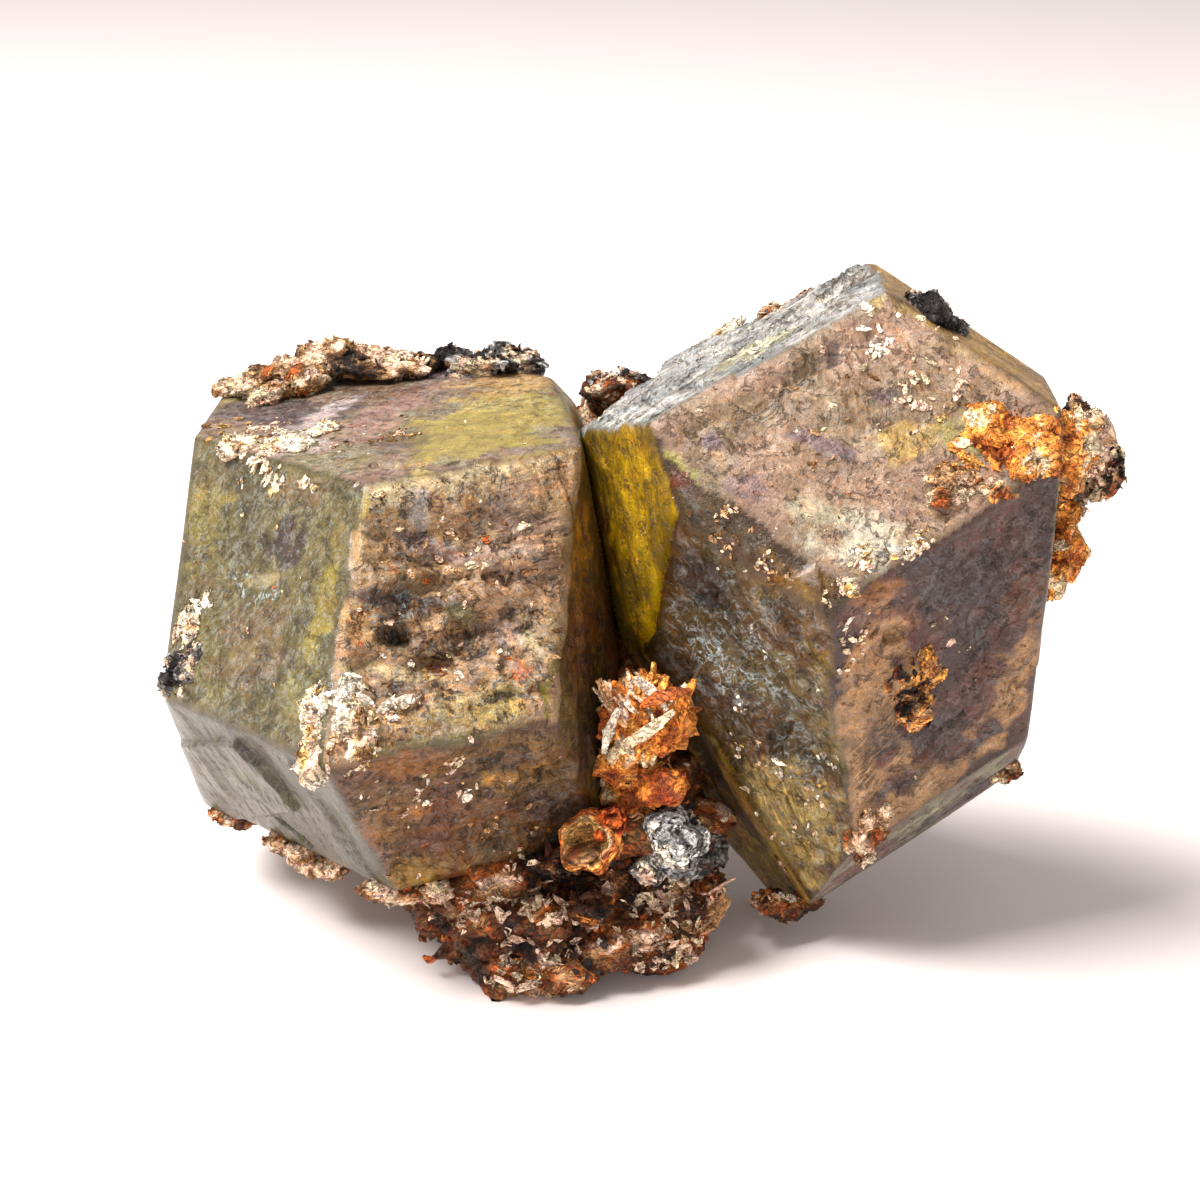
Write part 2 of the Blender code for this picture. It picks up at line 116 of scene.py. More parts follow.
def facing(bearing, rise):
    """Three rows: rightward, upward and outward on a flat that looks along the direction."""
    outward = direction(bearing, rise)
    level = np.cross([0.0, 0.0, 1.0], outward)
    level = level / np.linalg.norm(level)
    return np.array([level, np.cross(outward, level), outward])


def ball(columns, rows, crowding=0.0):
    """Unit directions over a whole ball: rings from pole to pole and the two poles last.

    Along a ring the angle is t - crowding * sin t, so that the rings are finer at the front.
    """
    t = np.linspace(0.0, 2 * np.pi, columns, endpoint=False)
    around = t - crowding * np.sin(t)
    lift = np.linspace(-np.pi / 2, np.pi / 2, rows + 1)[1:-1]
    around, lift = np.meshgrid(around, lift)
    x = np.cos(lift) * np.sin(around)
    y = -np.cos(lift) * np.cos(around)
    rings = np.stack([x, y, np.sin(lift)], axis=-1).reshape(-1, 3)
    return np.vstack([rings, [[0, 0, -1], [0, 0, 1]]])


def ball_faces(columns, rows):
    """Quads between the rings of a ball and triangles at its poles, facing outward."""
    ring = np.arange(columns)
    after = (ring + 1) % columns
    start = (np.arange(rows - 2) * columns)[:, None]
    quads = np.stack(
        [start + ring, start + after, start + columns + after, start + columns + ring], axis=-1)
    bottom = columns * (rows - 1)
    last = columns * (rows - 2)
    low = np.stack([np.full(columns, bottom), after, ring], axis=-1)
    high = np.stack([np.full(columns, bottom + 1), last + ring, last + after], axis=-1)
    return quads.reshape(-1, 4), np.vstack([low, high])


def surface(name, points, quads, triangles, material, attributes, flat_from=None):
    """A mesh object at the origin from points in millimetres, smooth up to point flat_from.

    attributes holds named values for each point: three columns make a colour or a vector.
    """
    mesh = bpy.data.meshes.new(name)
    mesh.vertices.add(len(points))
    mesh.vertices.foreach_set("co", (points * MM).astype(np.float32).ravel())
    corners = np.concatenate([quads.ravel(), triangles.ravel()])
    sizes = np.concatenate([np.full(len(quads), 4), np.full(len(triangles), 3)])
    mesh.loops.add(len(corners))
    mesh.loops.foreach_set("vertex_index", corners.astype(np.int32))
    mesh.polygons.add(len(sizes))
    starts = np.concatenate([[0], np.cumsum(sizes)[:-1]])
    mesh.polygons.foreach_set("loop_start", starts.astype(np.int32))
    mesh.polygons.foreach_set("loop_total", sizes.astype(np.int32))
    mesh.update(calc_edges=True)
    mesh.validate()
    first = np.zeros(len(mesh.polygons), dtype=np.int32)
    mesh.polygons.foreach_get("loop_start", first)
    held = np.zeros(len(mesh.loops), dtype=np.int32)
    mesh.loops.foreach_get("vertex_index", held)
    mesh.polygons.foreach_set(
        "use_smooth", held[first] < (len(points) if flat_from is None else flat_from))
    for label, values in attributes.items():
        made = mesh.attributes.new(label, "FLOAT_VECTOR", "POINT")
        made.data.foreach_set("vector", values.astype(np.float32).ravel())
    mesh.materials.append(material)
    piece = bpy.data.objects.new(name, mesh)
    bpy.context.scene.collection.objects.link(piece)
    return piece


def step_height(u, v, sides, height):
    """A terrace: full height where the place is inside every side, eased over the last bit."""
    inside = np.full(len(u), 9.0)
    for angle, reach in sides:
        a = math.radians(angle)
        inside = np.minimum(inside, reach - (math.cos(a) * u + math.sin(a) * v))
    return height * smooth(inside, -0.22, 0.05)


def spot(u, v, place, fray):
    """1 inside a turned oval and 0 outside it, the border moved in and out by fray.

    place is right, up, half width, half height and turn in degrees.
    """
    right, up, wide, high, turn = place
    a = math.radians(turn)
    x = (u - right) * math.cos(a) + (v - up) * math.sin(a)
    y = (v - up) * math.cos(a) - (u - right) * math.sin(a)
    return smooth(1.0 - np.hypot(x / wide, y / high) + fray, 0.0, 0.4)


# Points round a crystal and rings from pole to pole, with finer ones at the front.
CRYSTAL_GRID = (440, 224)
FRONT_CROWDING = 0.3
# An oval larger than any face, and the relief of a face that has none of its own.
ALL_OVER = (0.0, 0.0, 60.0, 60.0, 0.0)
PLAIN_RELIEF = (0.08, 0.0, 1.0, 0.0, ALL_OVER)


def crystal_skin(heart, middle, faces, steps, pits, relief):
    """The closed skin of a crystal: points, owning face, place on it, gap to the next face and
    place along the face's grain.

    A ray leaves the middle through each point of a ball. Along it each flat lies at
    (distance + height) / (outward . ray), where height adds the face's terraces, hollows and
    noise. The least of these, eased by a soft minimum that wears the edges, is the radius.
    """
    far_off, grazing, relief_reach, shelves, sharpness = 1e3, 0.08, 1.6, 3.2, 9.0
    rays = ball(*CRYSTAL_GRID, FRONT_CROWDING)
    names = list(faces)
    reach = np.full((len(rays), len(names)), far_off)
    places = np.zeros((len(rays), len(names), 2))
    for index, (bearing, rise, distance) in enumerate(faces.values()):
        turned = facing(bearing, rise)
        away = distance + turned[2] @ (heart - middle)
        slant = rays @ turned[2]
        ahead = slant > grazing
        reach[ahead, index] = away / slant[ahead]
        hit = rays[ahead] * reach[ahead, index][:, None] + middle - heart
        places[ahead, index, 0] = hit @ turned[0]
        places[ahead, index, 1] = hit @ turned[1]
    least = reach.min(axis=1)
    two = np.sort(reach, axis=1)[:, :2]
    calm = 0.3 + 0.7 * smooth(two[:, 1] - two[:, 0], 0.2, 2.0)
    grained = np.zeros_like(places)
    for index, (name, (bearing, rise, _)) in enumerate(faces.items()):
        turned = facing(bearing, rise)
        near = reach[:, index] < least + relief_reach
        u, v = places[near, index].T
        rough, ledges, stretch, turn, reach_of_ledges = relief.get(name, PLAIN_RELIEF)
        a = math.radians(turn)
        along = math.cos(a) * u + math.sin(a) * v
        across = math.cos(a) * v - math.sin(a) * u
        grained[near, index] = np.column_stack([along, across])
        spread = np.stack([along, across, np.full(len(u), 7.7 * index)], axis=-1)
        height = rough * layered(spread * 0.55, 5, index)
        if ledges:
            long_way = spread * [0.2 / stretch, 0.42 * stretch, 1.0]
            levels = shelves * layered(long_way, 5, 40 + index)
            shelf = (np.floor(levels) + smooth(levels % 1.0, 0.66, 1.0)) / shelves
            height += ledges * shelf * spot(u, v, reach_of_ledges, 0.3)
        height *= calm[near]
        for rise_by, sides in steps.get(name, ()):
            fray = 0.12 * layered(spread * 1.3, 3, 60 + index)
            height += step_height(u + fray, v + fray, sides, rise_by)
        for right, up, wide, high, depth, pit_turn in pits.get(name, ()):
            fray = 0.5 * layered(spread * 0.9, 4, 80 + index)
            height -= depth * spot(u, v, (right, up, wide, high, pit_turn), fray)
        reach[near, index] += height / (rays[near] @ turned[2])
    ordered = np.sort(reach, axis=1)
    soft = np.exp(-sharpness * (reach - ordered[:, :1])).sum(axis=1)
    radius = ordered[:, 0] - np.log(soft) / sharpness
    owner = reach.argmin(axis=1)
    place = places[np.arange(len(rays)), owner]
    facet = np.column_stack([grained[np.arange(len(rays)), owner], owner * 11.0])
    points = middle + rays * radius[:, None]
    return points, owner, place, ordered[:, 1] - ordered[:, 0], facet


def stain(tint, where, colour, strength):
    """Move the tint of each point towards a colour by where * strength."""
    share = (where * strength)[:, None]
    return tint * (1 - share) + colour * share


def dab(values, owner, place, names, fray, spots):
    """Move the values of each face's points towards other ones in ovals with frayed borders."""
    for name, ovals in spots.items():
        mine = np.flatnonzero(owner == names.index(name))
        for oval, value, strength in ovals:
            where = spot(place[mine, 0], place[mine, 1], oval, fray[mine])
            values[mine] = stain(values[mine], where, np.asarray(value), strength)


COLOUR_STRENGTH = 1.2
BODY_SHADE = 0.55


def paint(points, owner, place, edge, names, coats, stains, marked, depth, seed):
    """Tint and markings of a crystal, point by point.

    Each face has its own coat, blurred by noise, its stains, and factors on its colour that
    paint light and shade on it face by face, mixed with a shift of its own colour. Edges are
    paler where the noise lets them be, partly wear and partly a painted highlight, and darker
    right on the line, a painted shade that damps the light the rounded edges catch. The
    markings are frost, grit and streaks, from 0 to 1, and they fade out at the edges.
    """
    tint = np.zeros((len(points), 3))
    marks = np.zeros((len(points), 3))
    cloud = layered(points * 0.35, 5, seed)
    fray = 0.5 * layered(points * 0.8, 5, seed + 9)
    for index, name in enumerate(names):
        mine = owner == index
        first, second, *markings = coats[name]
        share = smooth(cloud[mine], -0.7, 0.7)[:, None]
        tint[mine] = first * (1 - share) + second * share
        marks[mine] = markings
    dab(tint, owner, place, names, fray, stains)
    dab(marks, owner, place, names, fray, marked)
    # Pale edges: partly wear and partly a painted highlight.
    edge_wear_and_highlight = np.exp(-(edge / 0.35) ** 2) * smooth(layered(points * 0.8, 3, seed + 5), -0.4, 0.6)
    tint = stain(tint, edge_wear_and_highlight, PALE_TAN, 0.12)
    marks *= smooth(edge, 0.1, 0.7)[:, None]
    # Painted light and shade: each face's tint times its own factors.
    for name, factors in depth.items():
        tint[owner == names.index(name)] *= factors
    grey = tint.mean(axis=1)[:, None]
    tint = np.clip(grey + (tint - grey) * COLOUR_STRENGTH, 0.0, 1.0) * BODY_SHADE
    # Painted shade: the tint is darker right on each edge, to damp the light that the rounded edges
    # catch.
    tint *= (1.0 - 0.35 * np.exp(-(edge / 0.25) ** 2))[:, None]
    return tint, marks


OLIVE = tone(148, 134, 88)
DEEP_OLIVE = tone(112, 100, 58)
YELLOW_OLIVE = tone(184, 164, 84)
YELLOW = tone(186, 158, 62)
GREEN_YELLOW = tone(162, 150, 82)
TAUPE = tone(154, 124, 92)
PINK_BROWN = tone(176, 138, 110)
PEACH = tone(212, 170, 128)
MAUVE = tone(134, 106, 102)
DEEP_MAUVE = tone(80, 60, 58)
LILAC = tone(178, 164, 162)
GREY_GREEN = tone(170, 170, 148)
PALE_TAN = tone(206, 188, 154)
CREAM = tone(226, 208, 176)
OCHRE = tone(204, 164, 96)
BROWN = tone(112, 78, 44)
DARK = tone(44, 32, 26)
RUST = tone(160, 82, 34)
SLATE = tone(96, 88, 94)

# The heart is where the distances of the faces are counted from, the middle is where the rays
# start. Each face has the bearing and rise that it looks along and its distance.
LEFT_HEART = np.array([-12.8, -0.7, 17.5])
LEFT_MIDDLE = np.array([-11.8, -2.2, 18.2])
LEFT_FACES = {
    "front": (18, 33, 15.9), "top": (-112, 85, 12.7), "left": (-53, 28, 12.5),
    "low_front": (22, -27, 16.6), "right": (75, 5, 14.3), "low_left": (-48, -32, 13.1),
    "underside": (68, -85, 11.1), "top_rear": (171, 34, 20.8), "top_right": (99, 44, 17.3),
    "far_left": (-92, 4, 12.6), "far_left_low": (-87, -6, 13.3), "rear": (180, -11, 14.0),
    "rear_corner": (140, 15, 17.0), "rear_low": (-162, -33, 14.3), "rear_right": (127, -28, 14.3),
    "contact": (93, 10, 13.66),
}
# Terraces on a face: height, then sides as angle and reach.
LEFT_STEPS = {
    "front": (
        (0.45, ((-88, -1.2), (12, 8.0), (180, 4.5))), (0.4, ((100, -7.4), (0, 4.2), (-165, 6.6))),
    ),
    "low_front": ((0.4, ((80, 0.6), (-10, 3.4), (150, 5.4))),),
    "low_left": ((0.35, ((-60, 2.2), (115, 3.6), (20, 6.0))),),
    "top": ((0.15, ((100, 9.5), (-80, -1.5), (10, 8.0))),),
}
# Hollows on a face: right, up, half width, half height, depth and turn.
LEFT_PITS = {
    "front": (
        (-1.2, -0.9, 2.3, 0.75, 0.9, 8), (3.4, -0.9, 1.9, 0.6, 0.8, -10),
        (-3.6, -3.6, 1.0, 0.9, 1.2, 20), (0.9, -3.6, 2.6, 0.6, 0.9, 4),
        (-1.6, -5.8, 1.7, 0.7, 0.9, -6), (3.4, -6.0, 0.8, 1.3, 0.7, 0),
    ),
    "low_front": ((4.0, 5.4, 2.0, 1.0, 0.8, -15),),
    "low_left": ((2.0, -3.0, 2.4, 0.4, 0.5, -35),),
}
# Relief of a face: roughness, height of its ledges, how far these are drawn out, the way that
# its grain runs, and the oval in which the ledges are.
LEFT_RELIEF = {
    "front": (0.2, 1.0, 1.1, 4, (0.2, -2.6, 8.5, 5.6, 0)),
    "top": (0.06, 0.0, 1.0, 10, ALL_OVER),
    "left": (0.1, 0.0, 1.0, 80, ALL_OVER),
    "low_front": (0.2, 0.6, 1.0, 10, ALL_OVER),
    "low_left": (0.07, 0.2, 1.6, 85, ALL_OVER),
    "right": (0.14, 0.4, 1.0, 90, ALL_OVER),
    "top_rear": (0.14, 0.3, 1.0, 0, ALL_OVER),
    "rear": (0.16, 0.6, 1.2, 20, ALL_OVER),
    "rear_low": (0.12, 0.4, 1.0, 70, ALL_OVER),
}
# Factors on the red, green and blue of the faces in view: painted light and shade, face by
# face, mixed with a shift of each face's own colour.
LEFT_SHADE_AND_TONE = {
    "left": (0.62, 0.64, 0.6), "low_front": (0.98, 0.67, 0.27), "low_left": (0.2, 0.2, 0.09),
    "right": (0.86, 0.7, 0.42), "front": (1.22, 1.34, 1.3), "top": (1.08, 1.13, 1.66),
}
# Coat of each face: two colours, then frost, grit and streaks.
LEFT_COATS = {
    "front": (TAUPE, PINK_BROWN, 0.25, 1.0, 0.2),
    "top": (OLIVE, TAUPE, 0.2, 0.5, 0.1),
    "left": (OLIVE, DEEP_OLIVE, 0.15, 0.45, 0.0),
    "low_front": (DEEP_OLIVE, BROWN, 0.1, 0.7, 0.1),
    "low_left": (GREY_GREEN, OLIVE, 0.1, 0.1, 0.8),
    "right": (BROWN, DEEP_OLIVE, 0.0, 0.8, 0.3),
    "underside": (DEEP_OLIVE, TAUPE, 0.0, 0.7, 0.0),
    "top_rear": (OLIVE, TAUPE, 0.1, 0.7, 0.0),
    "top_right": (OCHRE, OLIVE, 0.0, 0.5, 0.0),
    "far_left": (OLIVE, DEEP_OLIVE, 0.1, 0.5, 0.0),
    "far_left_low": (OLIVE, GREY_GREEN, 0.1, 0.5, 0.0),
    "rear": (TAUPE, OLIVE, 0.1, 0.8, 0.0),
    "rear_corner": (DEEP_OLIVE, OLIVE, 0.1, 0.6, 0.0),
    "rear_low": (OLIVE, TAUPE, 0.1, 0.7, 0.3),
    "rear_right": (DEEP_OLIVE, BROWN, 0.0, 0.6, 0.0),
    "contact": (BROWN, DEEP_OLIVE, 0.0, 0.4, 0.0),
}
# Stains on a face: oval, colour and strength.
LEFT_STAINS = {
    "front": (
        ((1.5, 4.8, 6.4, 0.8, -1), PALE_TAN, 0.5), ((4.7, 1.6, 2.9, 3.3, -6), MAUVE, 0.55),
        ((-5.3, 2.0, 1.5, 2.1, -4), PEACH, 0.7), ((-4.7, 3.8, 1.2, 0.9, -5), YELLOW, 0.7),
        ((-0.9, 3.4, 0.9, 0.7, -6), LILAC, 0.9), ((-0.3, 1.3, 2.2, 0.8, -22), MAUVE, 0.8),
        ((-2.2, 4.0, 1.2, 0.7, -5), PALE_TAN, 0.5), ((1.9, -1.1, 1.7, 0.8, -13), PINK_BROWN, 0.8),
        ((-2.8, 0.2, 0.5, 0.7, 11), RUST, 0.9), ((-1.0, 0.4, 1.0, 0.4, 6), DARK, 0.85),
        ((-2.7, -1.7, 4.2, 0.6, -11), DEEP_MAUVE, 0.8), ((-5.7, -2.6, 1.7, 1.2, -7), PEACH, 0.9),
        ((-6.0, -2.9, 0.7, 0.4, -8), BROWN, 0.7), ((-3.4, -3.9, 1.0, 0.9, -6), DARK, 0.85),
        ((-3.2, -2.6, 0.9, 0.3, 6), DARK, 0.8), ((-1.1, -3.7, 1.4, 0.9, 12), PINK_BROWN, 0.8),
        ((0.8, -2.8, 1.4, 0.7, -25), DEEP_OLIVE, 0.8), ((3.0, -3.5, 1.6, 1.6, -7), MAUVE, 0.6),
        ((0.7, -4.9, 2.3, 0.5, -2), TAUPE, 0.6), ((-1.2, -6.0, 0.8, 0.4, -7), RUST, 0.9),
        ((3.6, -6.5, 0.5, 0.8, -11), RUST, 0.85), ((4.4, -4.8, 0.6, 1.1, -9), CREAM, 0.5),
        ((4.6, -7.7, 0.5, 2.8, -11), GREEN_YELLOW, 0.9),
        ((-4.2, -5.6, 3.3, 0.5, -16), PALE_TAN, 0.6),
        ((0.8, -8.1, 3.9, 1.1, -4), GREEN_YELLOW, 0.35),
        ((-3.5, -6.7, 2.2, 0.6, -18), DEEP_MAUVE, 0.5), ((7.0, -0.4, 0.7, 3.5, -8), TAUPE, 0.4),
        ((0.5, -10.0, 6.5, 0.9, -3), DEEP_OLIVE, 0.8),
    ),
    "top": (
        ((-3.3, 7.2, 5.3, 11.7, 94), YELLOW_OLIVE, 1.0), ((-14.1, 5.1, 4.8, 6.8, 52), OCHRE, 0.8),
        ((-2.6, -0.6, 2.2, 8.0, 95), PINK_BROWN, 0.7), ((-8.5, -3.8, 2.9, 3.0, 59), BROWN, 0.6),
        ((2.7, 3.4, 1.7, 2.9, 97), DEEP_MAUVE, 0.5),
        ((-4.0, -8.1, 3.5, 6.4, 167), DEEP_MAUVE, 0.8), ((2.2, -3.4, 2.5, 3.5, 97), CREAM, 0.6),
        ((-4.7, -5.0, 1.1, 3.7, 95), CREAM, 0.8), ((-6.5, -14.2, 1.8, 7.5, 93), YELLOW_OLIVE, 0.7),
        ((-13.0, -1.3, 3.9, 2.0, 100), MAUVE, 0.6),
    ),
    "left": (
        ((4.1, 3.3, 2.2, 1.7, 30), DEEP_MAUVE, 0.85),
        ((-4.5, 2.5, 2.3, 4.0, 15), YELLOW_OLIVE, 0.6), ((3.5, 6.5, 2.8, 1.3, 15), TAUPE, 0.6),
        ((10.0, 0.5, 1.2, 4.8, 14), YELLOW_OLIVE, 0.8), ((3.6, 0.9, 1.8, 0.6, 22), CREAM, 0.6),
        ((4.6, -3.0, 4.3, 3.2, 18), TAUPE, 0.6), ((10.8, -4.0, 2.6, 1.7, 18), GREEN_YELLOW, 0.7),
        ((-4.4, 5.7, 3.0, 1.4, 15), DEEP_MAUVE, 0.45), ((-1.9, -1.8, 2.0, 1.9, 15), BROWN, 0.4),
    ),
    "low_left": (
        ((7.2, 8.9, 2.5, 2.8, -21), YELLOW, 0.7), ((4.6, 5.1, 2.4, 1.4, -105), BROWN, 0.8),
        ((-8.1, -7.2, 6.0, 4.4, 27), GREEN_YELLOW, 0.5), ((6.0, -3.0, 5.5, 4.8, 5), OLIVE, 0.5),
        ((-6.5, 0.5, 2.7, 11.7, -118), LILAC, 0.5),
    ),
    "low_front": (
        ((-2.7, 9.1, 3.7, 1.8, -14), BROWN, 0.7), ((1.2, 8.3, 2.5, 0.9, -11), YELLOW, 0.8),
        ((-4.3, 7.7, 3.1, 1.4, -11), TAUPE, 0.7), ((2.1, 4.8, 3.2, 0.9, -11), PALE_TAN, 0.6),
        ((5.0, 1.7, 4.0, 1.8, -14), DEEP_MAUVE, 0.9), ((7.6, -2.1, 2.7, 2.5, -15), DARK, 0.85),
        ((-3.9, 3.6, 0.9, 0.7, -13), PEACH, 0.8), ((-2.1, 0.3, 2.0, 2.8, -15), BROWN, 0.5),
        ((-2.8, -3.1, 2.3, 1.2, 7), GREEN_YELLOW, 0.8),
        ((0.5, 8.4, 6.5, 1.3, -12), DEEP_OLIVE, 0.9), ((3.6, 2.6, 3.4, 2.2, -12), SLATE, 0.6),
        ((-5.5, 3.4, 2.6, 2.6, -12), LILAC, 0.3), ((-2.6, -2.2, 3.6, 1.6, -8), GREEN_YELLOW, 0.8),
        ((0.5, 1.6, 2.6, 1.6, -12), LILAC, 0.12), ((1.7, -0.6, 2.3, 2.3, 15), DEEP_OLIVE, 0.8),
    ),
    # The right face is stained darker towards the bottom: painted shade.
    "right": (
        ((-5.9, 6.7, 3.4, 3.4, -19), OCHRE, 0.5), ((-6.3, 2.0, 4.3, 4.0, -21), BROWN, 0.8),
        ((-6.9, -3.3, 4.3, 3.4, -23), DARK, 0.6),
    ),
}
# Ovals in which the frost, grit and streaks of a face differ from the rest of it.
LEFT_MARKS = {
    "top": (((0.5, 7.5, 6.0, 6.0, 0), (0.0, 0.05, 0.05), 1.0),),
    "front": (
        ((6.0, 1.5, 2.6, 3.6, 20), (0.0, 0.7, 0.7), 1.0),
        ((-3.5, -2.0, 3.0, 1.2, -10), (0.7, 1.0, 0.2), 1.0),
    ),
    "left": (((3.0, 0.0, 2.5, 1.2, 0), (0.6, 0.3, 0.0), 1.0),),
    "low_front": (((0.0, 4.5, 4.5, 2.5, 0), (0.1, 0.8, 0.2), 1.0),),
}


def link(tree, source, target):
    """Join a socket to another; a plain value is set on the target instead."""
    if isinstance(source, bpy.types.NodeSocket):
        tree.links.new(source, target)
    else:
        target.default_value = source


def add_node(tree, kind, inputs=(), **settings):
    """A node with its settings, its inputs given by number or name."""
    made = tree.nodes.new(kind)
    for name, value in settings.items():
        setattr(made, name, value)
    for name, value in dict(inputs).items():
        link(tree, value, made.inputs[name])
    return made


def number(tree, operation, *values):
    """The result of one sum on numbers."""
    made = add_node(tree, "ShaderNodeMath", operation=operation)
    for index, value in enumerate(values):
        link(tree, value, made.inputs[index])
    return made.outputs[0]


def times(tree, one, other, *plus):
    """The product of two values, plus a third where there is one."""
    return number(tree, "MULTIPLY_ADD" if plus else "MULTIPLY", one, other, *plus)


def between(tree, value, low, high, bottom=0.0, top=1.0):
    """The value eased from bottom at low to top at high."""
    made = add_node(tree, "ShaderNodeMapRange", {
        "Value": value, "From Min": low, "From Max": high, "To Min": bottom, "To Max": top},
        interpolation_type="SMOOTHSTEP")
    return made.outputs[0]


def blend(tree, share, under, over, kind="MIX"):
    """Two colours blended by a share."""
    made = add_node(tree, "ShaderNodeMix", data_type="RGBA", blend_type=kind)
    link(tree, share, made.inputs[0])
    link(tree, under, made.inputs[6])
    link(tree, over, made.inputs[7])
    return made.outputs[2]


def scaled(tree, vector, scale, shift=(0.0, 0.0, 0.0)):
    """A vector stretched along its axes and shifted."""
    made = add_node(tree, "ShaderNodeVectorMath", operation="MULTIPLY_ADD")
    link(tree, vector, made.inputs[0])
    made.inputs[1].default_value = scale
    made.inputs[2].default_value = shift
    return made.outputs[0]


def texture(tree, vector, scale, detail=4.0, roughness=0.6, distortion=0.0):
    """Noise at so many swells to the millimetre."""
    made = add_node(tree, "ShaderNodeTexNoise", {
        "Vector": vector, "Scale": scale, "Detail": detail, "Roughness": roughness,
        "Distortion": distortion})
    return made.outputs[0]


def veins(tree, vector, scale, width, distortion=0.6, detail=4.0):
    """1 on the thin winding lines where a noise crosses its middle value, 0 away from them."""
    swell = texture(tree, vector, scale, detail, 0.62, distortion)
    off = number(tree, "ABSOLUTE", number(tree, "SUBTRACT", swell, 0.5))
    return between(tree, off, width, 0.2 * width)


def colour4(colour):
    """The colour with full opacity."""
    return (*[float(part) for part in colour], 1.0)


def new_group(name, takes, gives):
    """A shader node group with named sockets; returns it with its input and output nodes."""
    group = bpy.data.node_groups.new(name, "ShaderNodeTree")
    for label, kind in takes:
        group.interface.new_socket(label, in_out="INPUT", socket_type=kind)
    for label, kind in gives:
        group.interface.new_socket(label, in_out="OUTPUT", socket_type=kind)
    return group, group.nodes.new("NodeGroupInput").outputs, group.nodes.new("NodeGroupOutput")


def use_group(tree, group, inputs):
    """The outputs of a group placed in a material."""
    return add_node(tree, "ShaderNodeGroup", inputs, node_tree=group).outputs


def tinted(tree, colour, share, factor):
    """The colour moved by a share towards itself times a factor."""
    return blend(tree, share, colour, blend(tree, 1.0, colour, (*factor, 1.0), "MULTIPLY"))


